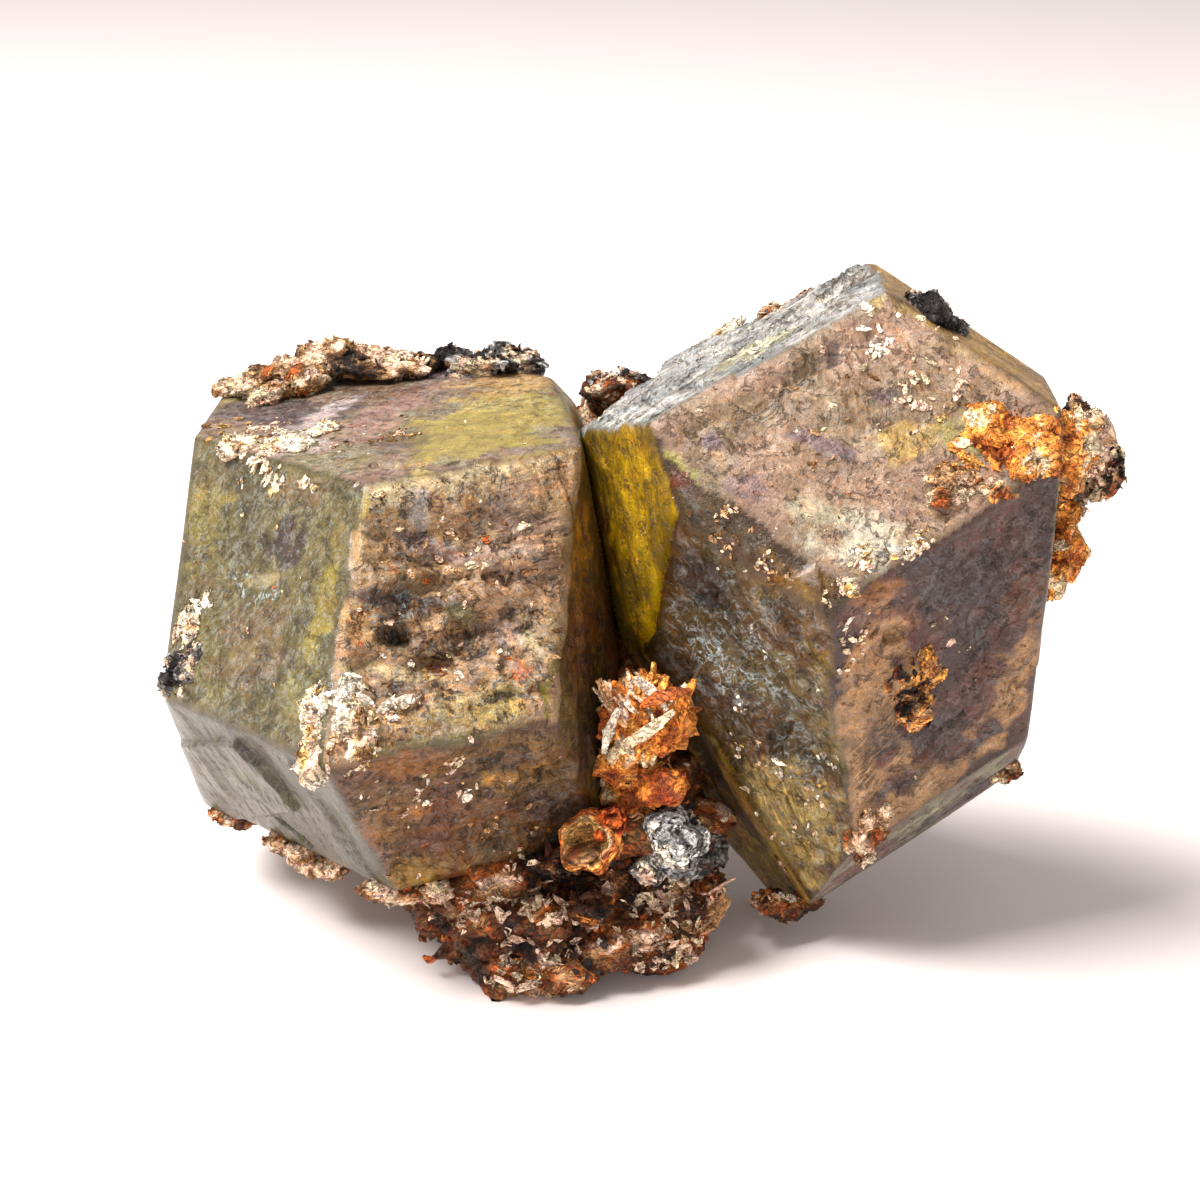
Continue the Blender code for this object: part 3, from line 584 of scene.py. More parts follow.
def crystal_grain():
    """Node group: the fine colour and relief of a garnet face.

    The coat is clouded, broken into angular grains, threaded with dark cracks, pale hairs and
    needle streaks, and covered with frosty curls where the marks ask for it.
    """
    group, given, out = new_group(
        "crystal grain",
        (("Coat", "NodeSocketColor"), ("Marks", "NodeSocketVector"),
         ("Place", "NodeSocketVector"), ("Facet", "NodeSocketVector")),
        (("Colour", "NodeSocketColor"), ("Height", "NodeSocketFloat"),
         ("Rough", "NodeSocketFloat")))
    marks = add_node(group, "ShaderNodeSeparateXYZ", {0: given["Marks"]}).outputs
    frost, grit, streak = marks[0], marks[1], marks[2]
    place = given["Place"]
    colour = given["Coat"]

    cloud = texture(group, place, 0.5, 5.0, 0.65, 0.8)
    colour = tinted(group, colour, between(group, cloud, 0.35, 0.62, 0.0, 0.7), (0.58, 0.52, 0.5))
    warm = texture(group, scaled(group, place, (1, 1, 1), (31, 7, 3)), 0.8, 5.0, 0.7, 1.2)
    colour = tinted(group, colour, between(group, warm, 0.5, 0.72, 0.0, 0.7), (1.6, 1.25, 0.85))
    patch = texture(group, scaled(group, place, (1, 1, 1), (3, 70, 13)), 1.1, 5.0, 0.75, 0.5)
    pale = times(group, between(group, patch, 0.55, 0.66), times(group, grit, 0.6, 0.15))
    colour = tinted(group, colour, pale, (1.9, 1.85, 1.75))
    dusk = times(group, between(group, patch, 0.47, 0.36), times(group, grit, 0.7, 0.15))
    colour = tinted(group, colour, dusk, (0.32, 0.27, 0.25))
    chips = add_node(group, "ShaderNodeTexVoronoi", {
        "Vector": scaled(group, place, (1, 1, 1.7)), "Scale": 2.4, "Detail": 2.0,
        "Roughness": 0.7}).outputs
    chip = add_node(group, "ShaderNodeSeparateColor", {0: chips["Color"]}).outputs[0]
    light = times(group, between(group, chip, 0.6, 0.95), grit)
    shade = times(group, between(group, chip, 0.42, 0.05), grit)
    colour = tinted(group, colour, times(group, light, 0.55), (1.8, 1.72, 1.6))
    colour = tinted(group, colour, times(group, shade, 0.6), (0.42, 0.34, 0.3))
    broken = texture(group, scaled(group, place, (1, 1, 1), (61, 5, 20)), 0.9, 4.0, 0.7)
    crack = veins(group, place, 0.55, 0.03, 0.8, 6.0)
    line = times(group, crack, between(group, broken, 0.46, 0.56))
    line = times(group, line, times(group, grit, 0.75, 0.15))
    colour = tinted(group, colour, line, (0.2, 0.13, 0.08))
    hair = veins(group, scaled(group, place, (1, 1, 1), (9, 2, 77)), 1.15, 0.04, 1.2)
    hairs = times(group, hair, between(group, broken, 0.54, 0.42))
    hairs = times(group, hairs, times(group, grit, 0.6, 0.12))
    colour = tinted(group, colour, hairs, (2.3, 2.15, 2.0))
    dash = veins(group, scaled(group, place, (1, 1, 1.4), (40, 22, 7)), 2.0, 0.045, 0.6)
    dashes = times(group, dash, between(group, broken, 0.48, 0.56))
    colour = tinted(group, colour, times(group, dashes, grit), (0.42, 0.33, 0.27))
    needle = texture(group, scaled(group, given["Facet"], (0.28, 4.0, 1.0)), 1.0, 4.0, 0.7, 0.3)
    colour = tinted(group, colour, times(group, between(group, needle, 0.53, 0.62), streak),
                    (2.4, 2.3, 2.1))
    colour = tinted(group, colour, times(group, between(group, needle, 0.47, 0.38), streak),
                    (0.28, 0.23, 0.16))
    curl = veins(group, scaled(group, place, (1, 1, 1), (5, 50, 9)), 0.8, 0.07, 1.8, 5.0)
    frosty = times(group, curl, between(group, patch, 0.44, 0.54))
    frosty = times(group, frosty, frost)
    colour = blend(group, frosty, colour, colour4(tone(188, 200, 200)))
    fine = texture(group, place, 7.0, 3.0, 0.7)
    colour = tinted(group, colour, between(group, fine, 0.42, 0.7, 0.0, 0.35), (1.6, 1.6, 1.6))
    colour = tinted(group, colour, between(group, fine, 0.5, 0.25, 0.0, 0.5), (0.5, 0.46, 0.42))
    rough = times(group, fine, 0.2, 0.18)
    rough = times(group, grit, 0.22, rough)
    height = times(group, number(group, "SUBTRACT", light, shade), 0.35, times(group, fine, 0.15))
    height = times(group, line, -0.8, height)
    height = times(group, hairs, 0.35, height)
    height = times(group, frosty, 0.4, height)
    height = times(group, times(group, patch, grit), 0.9, height)
    height = number(group, "ADD", height, times(group, times(group, needle, streak), 0.6))
    link(group, colour, out.inputs["Colour"])
    link(group, height, out.inputs["Height"])
    link(group, rough, out.inputs["Rough"])
    return group


def new_material(name):
    """A material with its tree, its shader and its place on the object in millimetres."""
    made = bpy.data.materials.new(name)
    made.use_nodes = True
    tree = made.node_tree
    shader = tree.nodes["Principled BSDF"]
    at = add_node(tree, "ShaderNodeTexCoord").outputs["Object"]
    place = scaled(tree, at, (1 / MM, 1 / MM, 1 / MM))
    return made, tree, shader, place


def attribute(tree, name):
    """A vector that the mesh holds for each point."""
    made = add_node(tree, "ShaderNodeAttribute", attribute_name=name, attribute_type="GEOMETRY")
    return made.outputs["Vector"]


CRYSTAL_GRAIN = crystal_grain()


def finish(tree, shader, grain, depth, settings):
    """Give the shader the group's colour, roughness and relief, of this depth in millimetres."""
    link(tree, grain["Colour"], shader.inputs["Base Color"])
    link(tree, grain["Rough"], shader.inputs["Roughness"])
    bump = add_node(tree, "ShaderNodeBump", {
        "Height": grain["Height"], "Strength": 1.0, "Distance": depth * MM})
    link(tree, bump.outputs[0], shader.inputs["Normal"])
    for name, value in settings.items():
        shader.inputs[name].default_value = value


def garnet_material(name):
    """Nearly opaque garnet: waxy, with grains, cracks, needles and frost."""
    made, tree, shader, place = new_material(name)
    grain = use_group(tree, CRYSTAL_GRAIN, {
        "Coat": attribute(tree, "tint"), "Marks": attribute(tree, "marks"),
        "Place": place, "Facet": attribute(tree, "facet")})
    finish(tree, shader, grain, 0.25, {
        "IOR": 1.6, "Specular IOR Level": 0.35, "Coat Weight": 0.08, "Coat Roughness": 0.2})
    return made


def garnet(name, seed, heart, middle, faces, steps, pits, relief, coats, stains, marked, depth):
    """One garnet crystal: its skin, its colours and its place in the frame.

    The skin also comes back as points, owning faces, places on them and faces, for what grows
    on it.
    """
    points, owner, place, edge, facet = crystal_skin(heart, middle, faces, steps, pits, relief)
    tint, marks = paint(points, owner, place, edge, list(faces), coats, stains, marked, depth,
                        seed)
    piece = surface(name + "_skin", points, *ball_faces(*CRYSTAL_GRID), garnet_material(name),
                    {"tint": tint, "marks": marks, "facet": facet})
    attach(piece, "root")
    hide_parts(name)
    return piece, (points, owner, place, faces)


left_garnet, left_skin = garnet(
    "garnet_left", 3, LEFT_HEART, LEFT_MIDDLE, LEFT_FACES, LEFT_STEPS, LEFT_PITS, LEFT_RELIEF,
    LEFT_COATS, LEFT_STAINS, LEFT_MARKS, LEFT_SHADE_AND_TONE)

# The right garnet: a second crystal of the same kind, tipped on its lower corner. It is
# mauve and ochre on top, dark and frosty in front and golden in the shade at the left.

RIGHT_HEART = np.array([14.4, -7.5, 22.0])
RIGHT_MIDDLE = np.array([12.8, -4.2, 20.6])
GOLD = tone(176, 156, 44)
ORANGE_CLAY = tone(206, 140, 86)
OLIVE_CREAM = tone(214, 226, 196)
PALE_STRAW = tone(246, 242, 208)
ASH = tone(142, 134, 132)
# Where the crystals meet, counted from the left one's heart: 0.02 mm inside its own face.
CONTACT_AT = 13.64
RIGHT_FACES = {
    "top": (-3, 39, 11.0), "band": (-21, 13, 10.9), "right": (27, -14, 7.8),
    "front": (-39, -20, 8.1), "left": (-64, -7, 10.9), "top_left": (-101, 61, 15.4),
    "low_right": (45, -40, 11.8), "under_right": (80, -60, 16.4), "far_right": (87, -1, 11.0),
    "top_right": (93, 59, 16.6), "top_rear": (-173, 25, 15.1), "low_front": (-62, -28, 10.7),
    "low_left": (-86, -19, 13.4), "tip": (5, -72, 18.9), "rear_low": (177, -39, 18.0),
    "rear_right": (145, 13, 12.0), "rear_left": (-153, 14, 15.0),
    "contact": (-87, -10, float(direction(93, 10) @ (RIGHT_HEART - LEFT_HEART)) - CONTACT_AT),
}
RIGHT_STEPS = {
    "top": ((0.5, ((209, -7.6), (243, -9.5))), (0.35, ((-57, -10.0),)),),
    "top_left": ((0.5, ((20, -3.4), (-100, 5.5))), (0.3, ((-170, 2.6), (85, 1.5))),),
    "band": ((0.4, ((125, 2.0), (20, 1.8))),),
    "right": ((0.45, ((170, -5.2), (-75, 3.0))),),
    "front": ((0.4, ((-60, 4.5), (140, 3.4), (40, 4.6))), (0.35, ((60, -7.5), (150, 6.0))),),
}
RIGHT_PITS = {
    "front": ((-3.0, 5.2, 1.3, 0.9, 0.6, 30), (-0.4, -4.4, 1.6, 0.6, 0.6, 60),),
    "right": (
        (1.4, -6.4, 2.3, 0.35, 0.6, 48), (2.6, -4.6, 1.8, 0.3, 0.5, 42),
        (-2.4, 3.2, 1.0, 0.6, 0.5, -30),
    ),
    "top": ((-2.6, 9.6, 1.6, 0.4, 0.5, 25),),
    "band": ((-4.4, 4.9, 1.4, 0.5, 0.5, -38),),
}
RIGHT_RELIEF = {
    "top": (0.16, 0.3, 1.0, -20, ALL_OVER),
    "band": (0.2, 0.8, 1.0, -40, ALL_OVER),
    "right": (0.13, 0.3, 1.0, 50, ALL_OVER),
    "front": (0.2, 0.6, 1.0, 112, ALL_OVER),
    "left": (0.14, 0.4, 1.3, 90, ALL_OVER),
    "top_left": (0.1, 0.7, 2.2, 121, ALL_OVER),
    "low_right": (0.08, 0.3, 2.0, 48, ALL_OVER),
    "low_front": (0.12, 0.3, 1.0, 100, ALL_OVER),
    "top_rear": (0.14, 0.4, 1.0, 0, ALL_OVER),
    "rear_left": (0.14, 0.6, 1.2, 30, ALL_OVER),
}
# Painted light and shade on the faces in view, as factors on red, green and blue, mixed with a
# shift of each face's own colour.
RIGHT_SHADE_AND_TONE = {
    "right": (0.6, 0.39, 0.28), "front": (0.47, 0.37, 0.2), "band": (0.48, 0.34, 0.12),
    "left": (1.35, 1.12, 0.16), "top": (1.1, 1.26, 1.5), "top_left": (1.4, 1.65, 1.7),
    "low_front": (1.9, 1.7, 1.1),
}
RIGHT_COATS = {
    "top": (TAUPE, PINK_BROWN, 0.1, 0.5, 0.05),
    "band": (DEEP_OLIVE, BROWN, 0.1, 1.0, 0.2),
    "right": (MAUVE, DEEP_MAUVE, 0.1, 0.45, 0.1),
    "front": (DEEP_OLIVE, TAUPE, 0.25, 0.7, 0.1),
    "left": (YELLOW_OLIVE, DEEP_OLIVE, 0.0, 0.55, 0.3),
    "top_left": (LILAC, ASH, 0.2, 0.4, 1.0),
    "low_right": (MAUVE, GREY_GREEN, 0.1, 0.3, 0.6),
    "under_right": (TAUPE, DEEP_OLIVE, 0.0, 0.6, 0.0),
    "far_right": (PINK_BROWN, OLIVE, 0.1, 0.6, 0.0),
    "top_right": (OCHRE, TAUPE, 0.1, 0.6, 0.2),
    "top_rear": (OLIVE, TAUPE, 0.1, 0.7, 0.0),
    "low_front": (OLIVE, TAUPE, 0.1, 0.6, 0.3),
    "low_left": (YELLOW_OLIVE, DEEP_OLIVE, 0.0, 0.6, 0.5),
    "tip": (OLIVE, TAUPE, 0.0, 0.6, 0.0),
    "rear_low": (DEEP_OLIVE, TAUPE, 0.0, 0.7, 0.0),
    "rear_right": (TAUPE, OLIVE, 0.1, 0.7, 0.0),
    "rear_left": (OLIVE, PINK_BROWN, 0.1, 0.7, 0.0),
    "contact": (DEEP_OLIVE, BROWN, 0.0, 0.4, 0.0),
}
RIGHT_STAINS = {
    "top": (
        ((-11.4, 4.1, 2.6, 0.9, -21), YELLOW_OLIVE, 0.9), ((-8.0, 5.5, 0.9, 0.7, -27), MAUVE, 0.9),
        ((-4.9, 7.8, 2.5, 0.4, 27), BROWN, 0.9), ((-2.1, 5.3, 2.1, 0.6, -14), MAUVE, 0.9),
        ((-6.0, 2.7, 1.7, 1.3, -36), MAUVE, 0.75), ((-1.4, 10.8, 0.8, 0.8, 0), DEEP_MAUVE, 0.7),
        ((1.5, 8.2, 1.1, 0.5, 0), MAUVE, 0.7), ((2.6, 5.1, 2.2, 1.7, 22), OCHRE, 0.8),
        ((3.7, 12.5, 3.1, 1.2, -42), OCHRE, 0.9), ((7.0, 9.7, 3.4, 0.8, -40), PEACH, 0.8),
        ((5.1, 9.2, 1.3, 0.8, -13), PINK_BROWN, 0.7), ((6.2, 5.6, 2.1, 1.8, 0), GREEN_YELLOW, 0.6),
        ((7.3, 7.1, 1.2, 0.4, 24), BROWN, 0.5), ((0.7, -0.4, 3.2, 1.6, -2), CREAM, 0.8),
        ((-2.0, 1.3, 2.1, 0.9, -19), PALE_TAN, 0.7), ((4.5, 2.6, 2.2, 1.2, 13), TAUPE, 0.6),
        ((-3.1, 3.7, 2.7, 1.7, -33), PINK_BROWN, 0.5), ((0.5, 13.7, 1.6, 0.7, 0), YELLOW, 0.5),
        ((8.3, 5.6, 1.7, 1.8, 3), ORANGE_CLAY, 0.6),
    ),
    "band": (
        ((-5.5, 5.9, 3.1, 0.5, -32), BROWN, 0.9), ((-7.3, 6.9, 0.7, 0.5, 8), RUST, 0.7),
        ((-3.9, 4.4, 2.8, 0.9, -30), DEEP_OLIVE, 0.9), ((-2.4, 3.8, 1.9, 0.5, -32), DARK, 0.55),
        ((0.8, 2.2, 1.9, 1.4, 9), YELLOW, 0.9), ((-1.5, 3.1, 1.4, 0.5, -36), YELLOW_OLIVE, 0.7),
        ((0.7, 1.2, 0.4, 1.8, 27), CREAM, 0.9), ((2.1, 2.7, 0.4, 0.5, 0), BROWN, 0.8),
    ),
    "front": (
        ((-3.4, 6.4, 2.6, 2.5, 16), DEEP_MAUVE, 0.9), ((-3.8, 10.3, 1.6, 2.3, 14), TAUPE, 0.7),
        ((0.7, 6.0, 2.2, 1.8, 16), OLIVE, 0.6), ((-2.0, 0.6, 3.5, 2.8, 7), GREY_GREEN, 0.55),
        ((-3.2, -1.6, 1.8, 1.4, 16), MAUVE, 0.7), ((-4.2, 1.8, 2.4, 1.7, 15), DEEP_OLIVE, 0.6),
        ((4.4, 2.0, 1.4, 3.8, 17), YELLOW_OLIVE, 0.85),
        ((1.2, -1.0, 1.8, 3.2, 19), GREY_GREEN, 0.5),
        ((-4.4, -11.3, 2.7, 3.5, 39), YELLOW_OLIVE, 0.8),
        ((-5.0, -9.1, 1.0, 2.7, 37), DEEP_OLIVE, 0.8), ((-0.4, -8.3, 3.2, 2.5, 20), TAUPE, 0.7),
        ((-0.8, -13.2, 2.6, 2.4, 21), PALE_TAN, 0.4), ((-3.6, -15.8, 2.1, 1.6, 19), PEACH, 0.5),
        ((3.7, -3.5, 1.3, 0.8, 18), CREAM, 0.7), ((-1.0, -9.8, 5.4, 5.0, 15), PALE_STRAW, 0.9),
        ((3.0, -2.0, 2.0, 4.6, 10), OLIVE_CREAM, 0.4),
    ),
    "right": (
        ((2.2, 5.7, 6.1, 2.6, -19), DEEP_MAUVE, 1.0), ((2.5, 1.0, 2.1, 3.7, -3), DEEP_MAUVE, 1.0),
        ((2.8, -3.9, 2.2, 3.0, 10), SLATE, 0.9), ((-2.9, 3.4, 2.3, 2.1, 10), PINK_BROWN, 0.9),
        ((-4.0, 1.9, 1.7, 1.4, -10), PEACH, 0.7), ((-4.4, 1.7, 0.7, 0.9, -34), CREAM, 0.8),
        ((-4.3, 6.1, 2.2, 0.8, 5), OCHRE, 0.9), ((7.3, -1.4, 1.5, 5.2, -11), OCHRE, 0.8),
        ((6.0, 3.7, 1.2, 2.2, -9), TAUPE, 0.7), ((-1.7, -4.7, 1.4, 2.8, 0), MAUVE, 0.8),
        ((2.6, -8.8, 3.7, 2.2, 16), OLIVE, 0.8), ((-1.5, -5.4, 2.1, 0.6, 39), DARK, 0.8),
        ((0.0, -4.8, 1.2, 0.4, 48), DARK, 0.8), ((-1.5, -9.3, 2.0, 1.5, -15), TAUPE, 0.7),
        ((0.1, -6.8, 1.2, 1.2, 20), DEEP_MAUVE, 0.7),
        ((-3.2, -0.6, 2.8, 6.4, 4), PALE_STRAW, 0.85),
        ((-2.6, -8.4, 3.8, 2.4, 25), PALE_STRAW, 0.85),
        ((3.8, -8.0, 2.8, 1.7, 30), PALE_STRAW, 0.7),
        ((-0.1, -10.4, 3.2, 2.2, 20), PALE_STRAW, 0.85),
        ((7.0, -1.0, 2.0, 6.0, -11), PALE_STRAW, 0.85),
        ((-1.6, -3.8, 1.6, 2.6, 20), DEEP_MAUVE, 0.5),
    ),
    "low_front": (
        ((-4.4, -4.2, 2.2, 5.5, 14), DARK, 0.9), ((-4.0, -10.0, 2.0, 5.0, 14), DARK, 0.8),
    ),
    "left": (
        ((-6.2, 7.4, 3.8, 3.4, 17), GOLD, 0.6), ((-2.4, 2.6, 1.7, 5.2, 18), BROWN, 0.7),
        ((-3.7, 4.4, 1.7, 4.1, 21), GREEN_YELLOW, 0.8),
        ((-8.4, -1.0, 3.2, 4.4, 20), DEEP_OLIVE, 0.8), ((-9.8, 5.0, 1.9, 4.2, 18), BROWN, 0.7),
    ),
    "top_left": (
        ((2.4, -5.1, 2.4, 1.7, 123), LILAC, 0.9), ((0.8, -1.4, 3.6, 1.8, 124), DARK, 0.6),
        ((-0.8, 2.2, 3.7, 1.8, 125), PALE_TAN, 0.5), ((-4.1, 5.7, 3.0, 1.7, 124), LILAC, 0.9),
        ((-1.4, -4.2, 1.9, 1.9, 125), SLATE, 0.5),
    ),
    "low_right": (
        ((5.6, -7.1, 5.4, 2.2, 48), SLATE, 0.8), ((4.2, -12.2, 3.0, 2.9, 48), DEEP_OLIVE, 0.6),
    ),
}
RIGHT_MARKS = {
    "front": (
        ((-2.2, 1.5, 3.4, 4.6, 20), (0.65, 0.8, 0.0), 1.0),
        ((-3.5, 6.5, 2.4, 3.0, 0), (0.15, 0.3, 0.0), 1.0),
        ((-1.5, -8.0, 2.4, 6.0, 20), (0.1, 0.5, 0.9), 1.0),
        ((1.0, -5.0, 2.6, 4.0, 0), (0.4, 1.0, 0.0), 1.0),
    ),
    "right": (
        ((1.5, 5.0, 4.5, 4.0, 0), (0.1, 0.15, 0.2), 1.0),
        ((1.0, -1.0, 3.0, 2.6, 0), (0.0, 0.05, 0.1), 1.0),
        ((-2.0, -5.0, 3.0, 2.0, 45), (0.1, 0.5, 0.9), 1.0),
    ),
    "top": (((0.0, -2.5, 6.5, 2.4, 20), (0.6, 1.0, 0.0), 1.0),),
}

right_garnet, right_skin = garnet(
    "garnet_right", 23, RIGHT_HEART, RIGHT_MIDDLE, RIGHT_FACES, RIGHT_STEPS, RIGHT_PITS,
    RIGHT_RELIEF, RIGHT_COATS, RIGHT_STAINS, RIGHT_MARKS, RIGHT_SHADE_AND_TONE)

# The muscovite base: the rust-brown crust that fills the wedge between the crystals and
# carries them, packed with small white, tan and rusty leaves, flat where it rests.


def box_limits(*nodes):
    """Lowest and highest corner of the named parts together, in millimetres."""
    corners = np.array([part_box(node) for node in nodes]) / MM
    return corners[:, 0].min(axis=0), corners[:, 1].max(axis=0)


def lump(centre, half_sizes, look, columns, rows, seed, roughness=0.2):
    """A closed ledged ball: a ball stretched to the half sizes along rightward, upward and
    outward, its radius swollen by noise and its surface stepped in thin leaves."""
    rays = ball(columns, rows)
    turned = facing(*look)
    local = rays @ turned.T
    swell = roughness * (layered(local * 1.6 + seed * 3.1, 4, seed)
                         + 0.65 * layered(local * 4.5 + seed, 4, seed + 7))
    leaf = 0.06 * np.abs((local[:, 2] * 5.0 + 0.4 * swell) % 1.0 - 0.5)
    shaped = local * (1.0 + swell - leaf)[:, None] * np.array(half_sizes)
    return np.asarray(centre) + shaped @ turned


def leaves(points, outs, sizes, tints, rim_shade, thickness, seed, flatness, stack):
    """Many small mica leaves in short stacks: points, quads, triangles and tint.

    A leaf is an uneven six-cornered plate, slightly cupped: height = cup * distance squared.
    The leaves of a stack lie on each other, each a little smaller, turned and shifted. Each
    leaf has its tint, darker at some of its corners by up to rim_shade.
    """
    rng = np.random.default_rng(seed)
    count = len(points)
    tilt = outs + flatness * rng.normal(size=(count, 3))
    normal = tilt / np.linalg.norm(tilt, axis=1)[:, None]
    side = np.cross(normal, rng.normal(size=(count, 3)))
    side /= np.linalg.norm(side, axis=1)[:, None]
    normal = np.repeat(normal, stack, axis=0)
    side = np.repeat(side, stack, axis=0)
    order = np.tile(np.arange(stack), count)
    size = np.repeat(sizes, stack) * (1.0 - 0.16 * order) * rng.uniform(0.8, 1.1, len(order))
    centre = np.repeat(points, stack, axis=0) + normal * (order * thickness * 1.7)[:, None]
    cross = np.cross(normal, side)
    centre = centre + side * (0.22 * size * rng.normal(size=len(order)))[:, None]
    centre = centre + cross * (0.22 * size * rng.normal(size=len(order)))[:, None]
    total = len(order)
    corners = 6
    angle = np.linspace(0, 2 * np.pi, corners, endpoint=False)
    angle = angle + rng.uniform(-0.25, 0.25, (total, corners))
    out_by = size[:, None] * rng.uniform(0.72, 1.12, (total, corners))
    narrow = rng.uniform(0.22, 0.7, total)[:, None]
    x = out_by * np.cos(angle)
    y = out_by * np.sin(angle) * narrow
    cup = rng.normal(size=total)[:, None] * 0.25 / np.maximum(size, 0.1)[:, None]
    z = cup * x * x
    rim = (centre[:, None, :] + x[..., None] * side[:, None, :]
           + y[..., None] * cross[:, None, :] + z[..., None] * normal[:, None, :])
    half = (normal * thickness / 2)[:, None, :]
    shell = np.concatenate([rim + half, rim - half], axis=1)
    base = (np.arange(total) * 2 * corners)[:, None]
    ring = np.arange(corners)
    after = (ring + 1) % corners
    quads = np.stack([base + corners + ring, base + corners + after, base + after, base + ring],
                     axis=-1)
    fan = np.arange(1, corners - 1)
    upper = np.stack([base + 0 * fan, base + fan, base + fan + 1], axis=-1)
    lower = np.stack([base + corners + 0 * fan, base + corners + fan + 1,
                      base + corners + fan], axis=-1)
    shade = np.tile(rng.uniform(0.0, 1.0, (total, corners)), (1, 2)).reshape(-1)
    tint = np.repeat(tints, 2 * corners, axis=0) * (1.0 - rim_shade * shade)[:, None]
    return (shell.reshape(-1, 3), quads.reshape(-1, 4),
            np.concatenate([upper, lower]).reshape(-1, 3), tint)


def joined(shapes):
    """Many shapes, each its points, quads, triangles and tint, put together as one."""
    points, quads, triangles, tints = zip(*shapes)
    starts = np.cumsum([0] + [len(part) for part in points])
    return (np.vstack(points), np.vstack([part + start for part, start in zip(quads, starts)]),
            np.vstack([part + start for part, start in zip(triangles, starts)]),
            np.vstack(tints))


def outward(points, quads):
    """A rough outward direction at each point of a closed grid, from its quads' normals."""
    a, b, c, d = (points[quads[:, i]] for i in range(4))
    flat = np.cross(c - a, d - b)
    total = np.zeros_like(points)
    for corner in range(4):
        np.add.at(total, quads[:, corner], flat)
    length = np.linalg.norm(total, axis=1)[:, None]
    return total / np.maximum(length, 1e-9)


def mica_grain():
    """Node group: the fine colour and relief of a mica crust.

    The crust is broken into long scales of uneven brightness, dark seams and pale leaf edges
    wind through it, and dark or rusty dust lies between them.
    """
    group, given, out = new_group(
        "mica grain",
        (("Coat", "NodeSocketColor"), ("Place", "NodeSocketVector"),
         ("Dirt", "NodeSocketFloat"), ("Stain", "NodeSocketColor")),
        (("Colour", "NodeSocketColor"), ("Height", "NodeSocketFloat"),
         ("Rough", "NodeSocketFloat")))
    place = given["Place"]
    colour = blend(group, 1.0, given["Coat"], (1.45, 1.42, 1.36, 1.0), "MULTIPLY")

    dust = texture(group, place, 1.3, 6.0, 0.75, 0.9)
    dirty = times(group, between(group, dust, 0.48, 0.64), given["Dirt"])
    colour = blend(group, dirty, colour, given["Stain"])
    warp = add_node(group, "ShaderNodeTexNoise", {
        "Vector": place, "Scale": 0.9, "Detail": 3.0}).outputs["Color"]
    bent = add_node(group, "ShaderNodeVectorMath", {
        0: warp, 1: (2.4, 2.4, 2.4), 2: place}, operation="MULTIPLY_ADD").outputs[0]
    scale = add_node(group, "ShaderNodeTexVoronoi", {
        "Vector": scaled(group, bent, (0.8, 1.6, 2.6)), "Scale": 1.7, "Detail": 2.0,
        "Roughness": 0.6}).outputs
    chip = add_node(group, "ShaderNodeSeparateColor", {0: scale["Color"]}).outputs[0]
    colour = tinted(group, colour, between(group, chip, 0.55, 0.95, 0.0, 0.75), (1.9, 1.85, 1.8))
    colour = tinted(group, colour, between(group, chip, 0.4, 0.05, 0.0, 0.7), (0.38, 0.3, 0.25))
    seam = veins(group, scaled(group, bent, (0.6, 1.2, 2.2)), 1.2, 0.05, 1.0)
    colour = blend(group, times(group, seam, 0.75), colour, colour4(tone(32, 20, 14)))
    edge = veins(group, scaled(group, bent, (0.5, 1.3, 2.4), (9, 4, 31)), 1.6, 0.06, 0.8)
    edges = times(group, edge, between(group, dust, 0.56, 0.44))
    colour = tinted(group, colour, times(group, edges, 0.8), (2.3, 2.2, 2.1))
    fine = texture(group, place, 9.0, 3.0, 0.7)
    height = times(group, chip, 0.8, times(group, fine, 0.3))
    height = times(group, seam, -1.0, height)
    height = times(group, edges, 0.4, height)
    rough = between(group, chip, 0.8, 1.0, 0.62, 0.34)
    link(group, colour, out.inputs["Colour"])
    link(group, height, out.inputs["Height"])
    link(group, rough, out.inputs["Rough"])
    return group


MICA_GRAIN = mica_grain()


def mica_material(name, dirt, dirt_colour):
    """Weathered muscovite: the leaf's own tint under dust, cracks and small bright scales."""
    made, tree, shader, place = new_material(name)
    grain = use_group(tree, MICA_GRAIN, {
        "Coat": attribute(tree, "tint"), "Place": place, "Dirt": dirt,
        "Stain": colour4(dirt_colour)})
    finish(tree, shader, grain, 0.2, {
        "Specular IOR Level": 0.3, "Coat Weight": 0.06, "Coat Roughness": 0.3})
    return made


WHITE = tone(240, 232, 218)
WARM_WHITE = tone(248, 222, 198)
PINK = tone(232, 196, 176)
SILVER = tone(176, 178, 182)
GREY = tone(104, 102, 102)
BLACK = tone(34, 30, 30)
TAN = tone(186, 146, 104)
ORANGE = tone(222, 138, 58)
BRIGHT_ORANGE = tone(244, 172, 84)
RED_BROWN = tone(150, 62, 28)
DARK_RUST = tone(92, 44, 22)

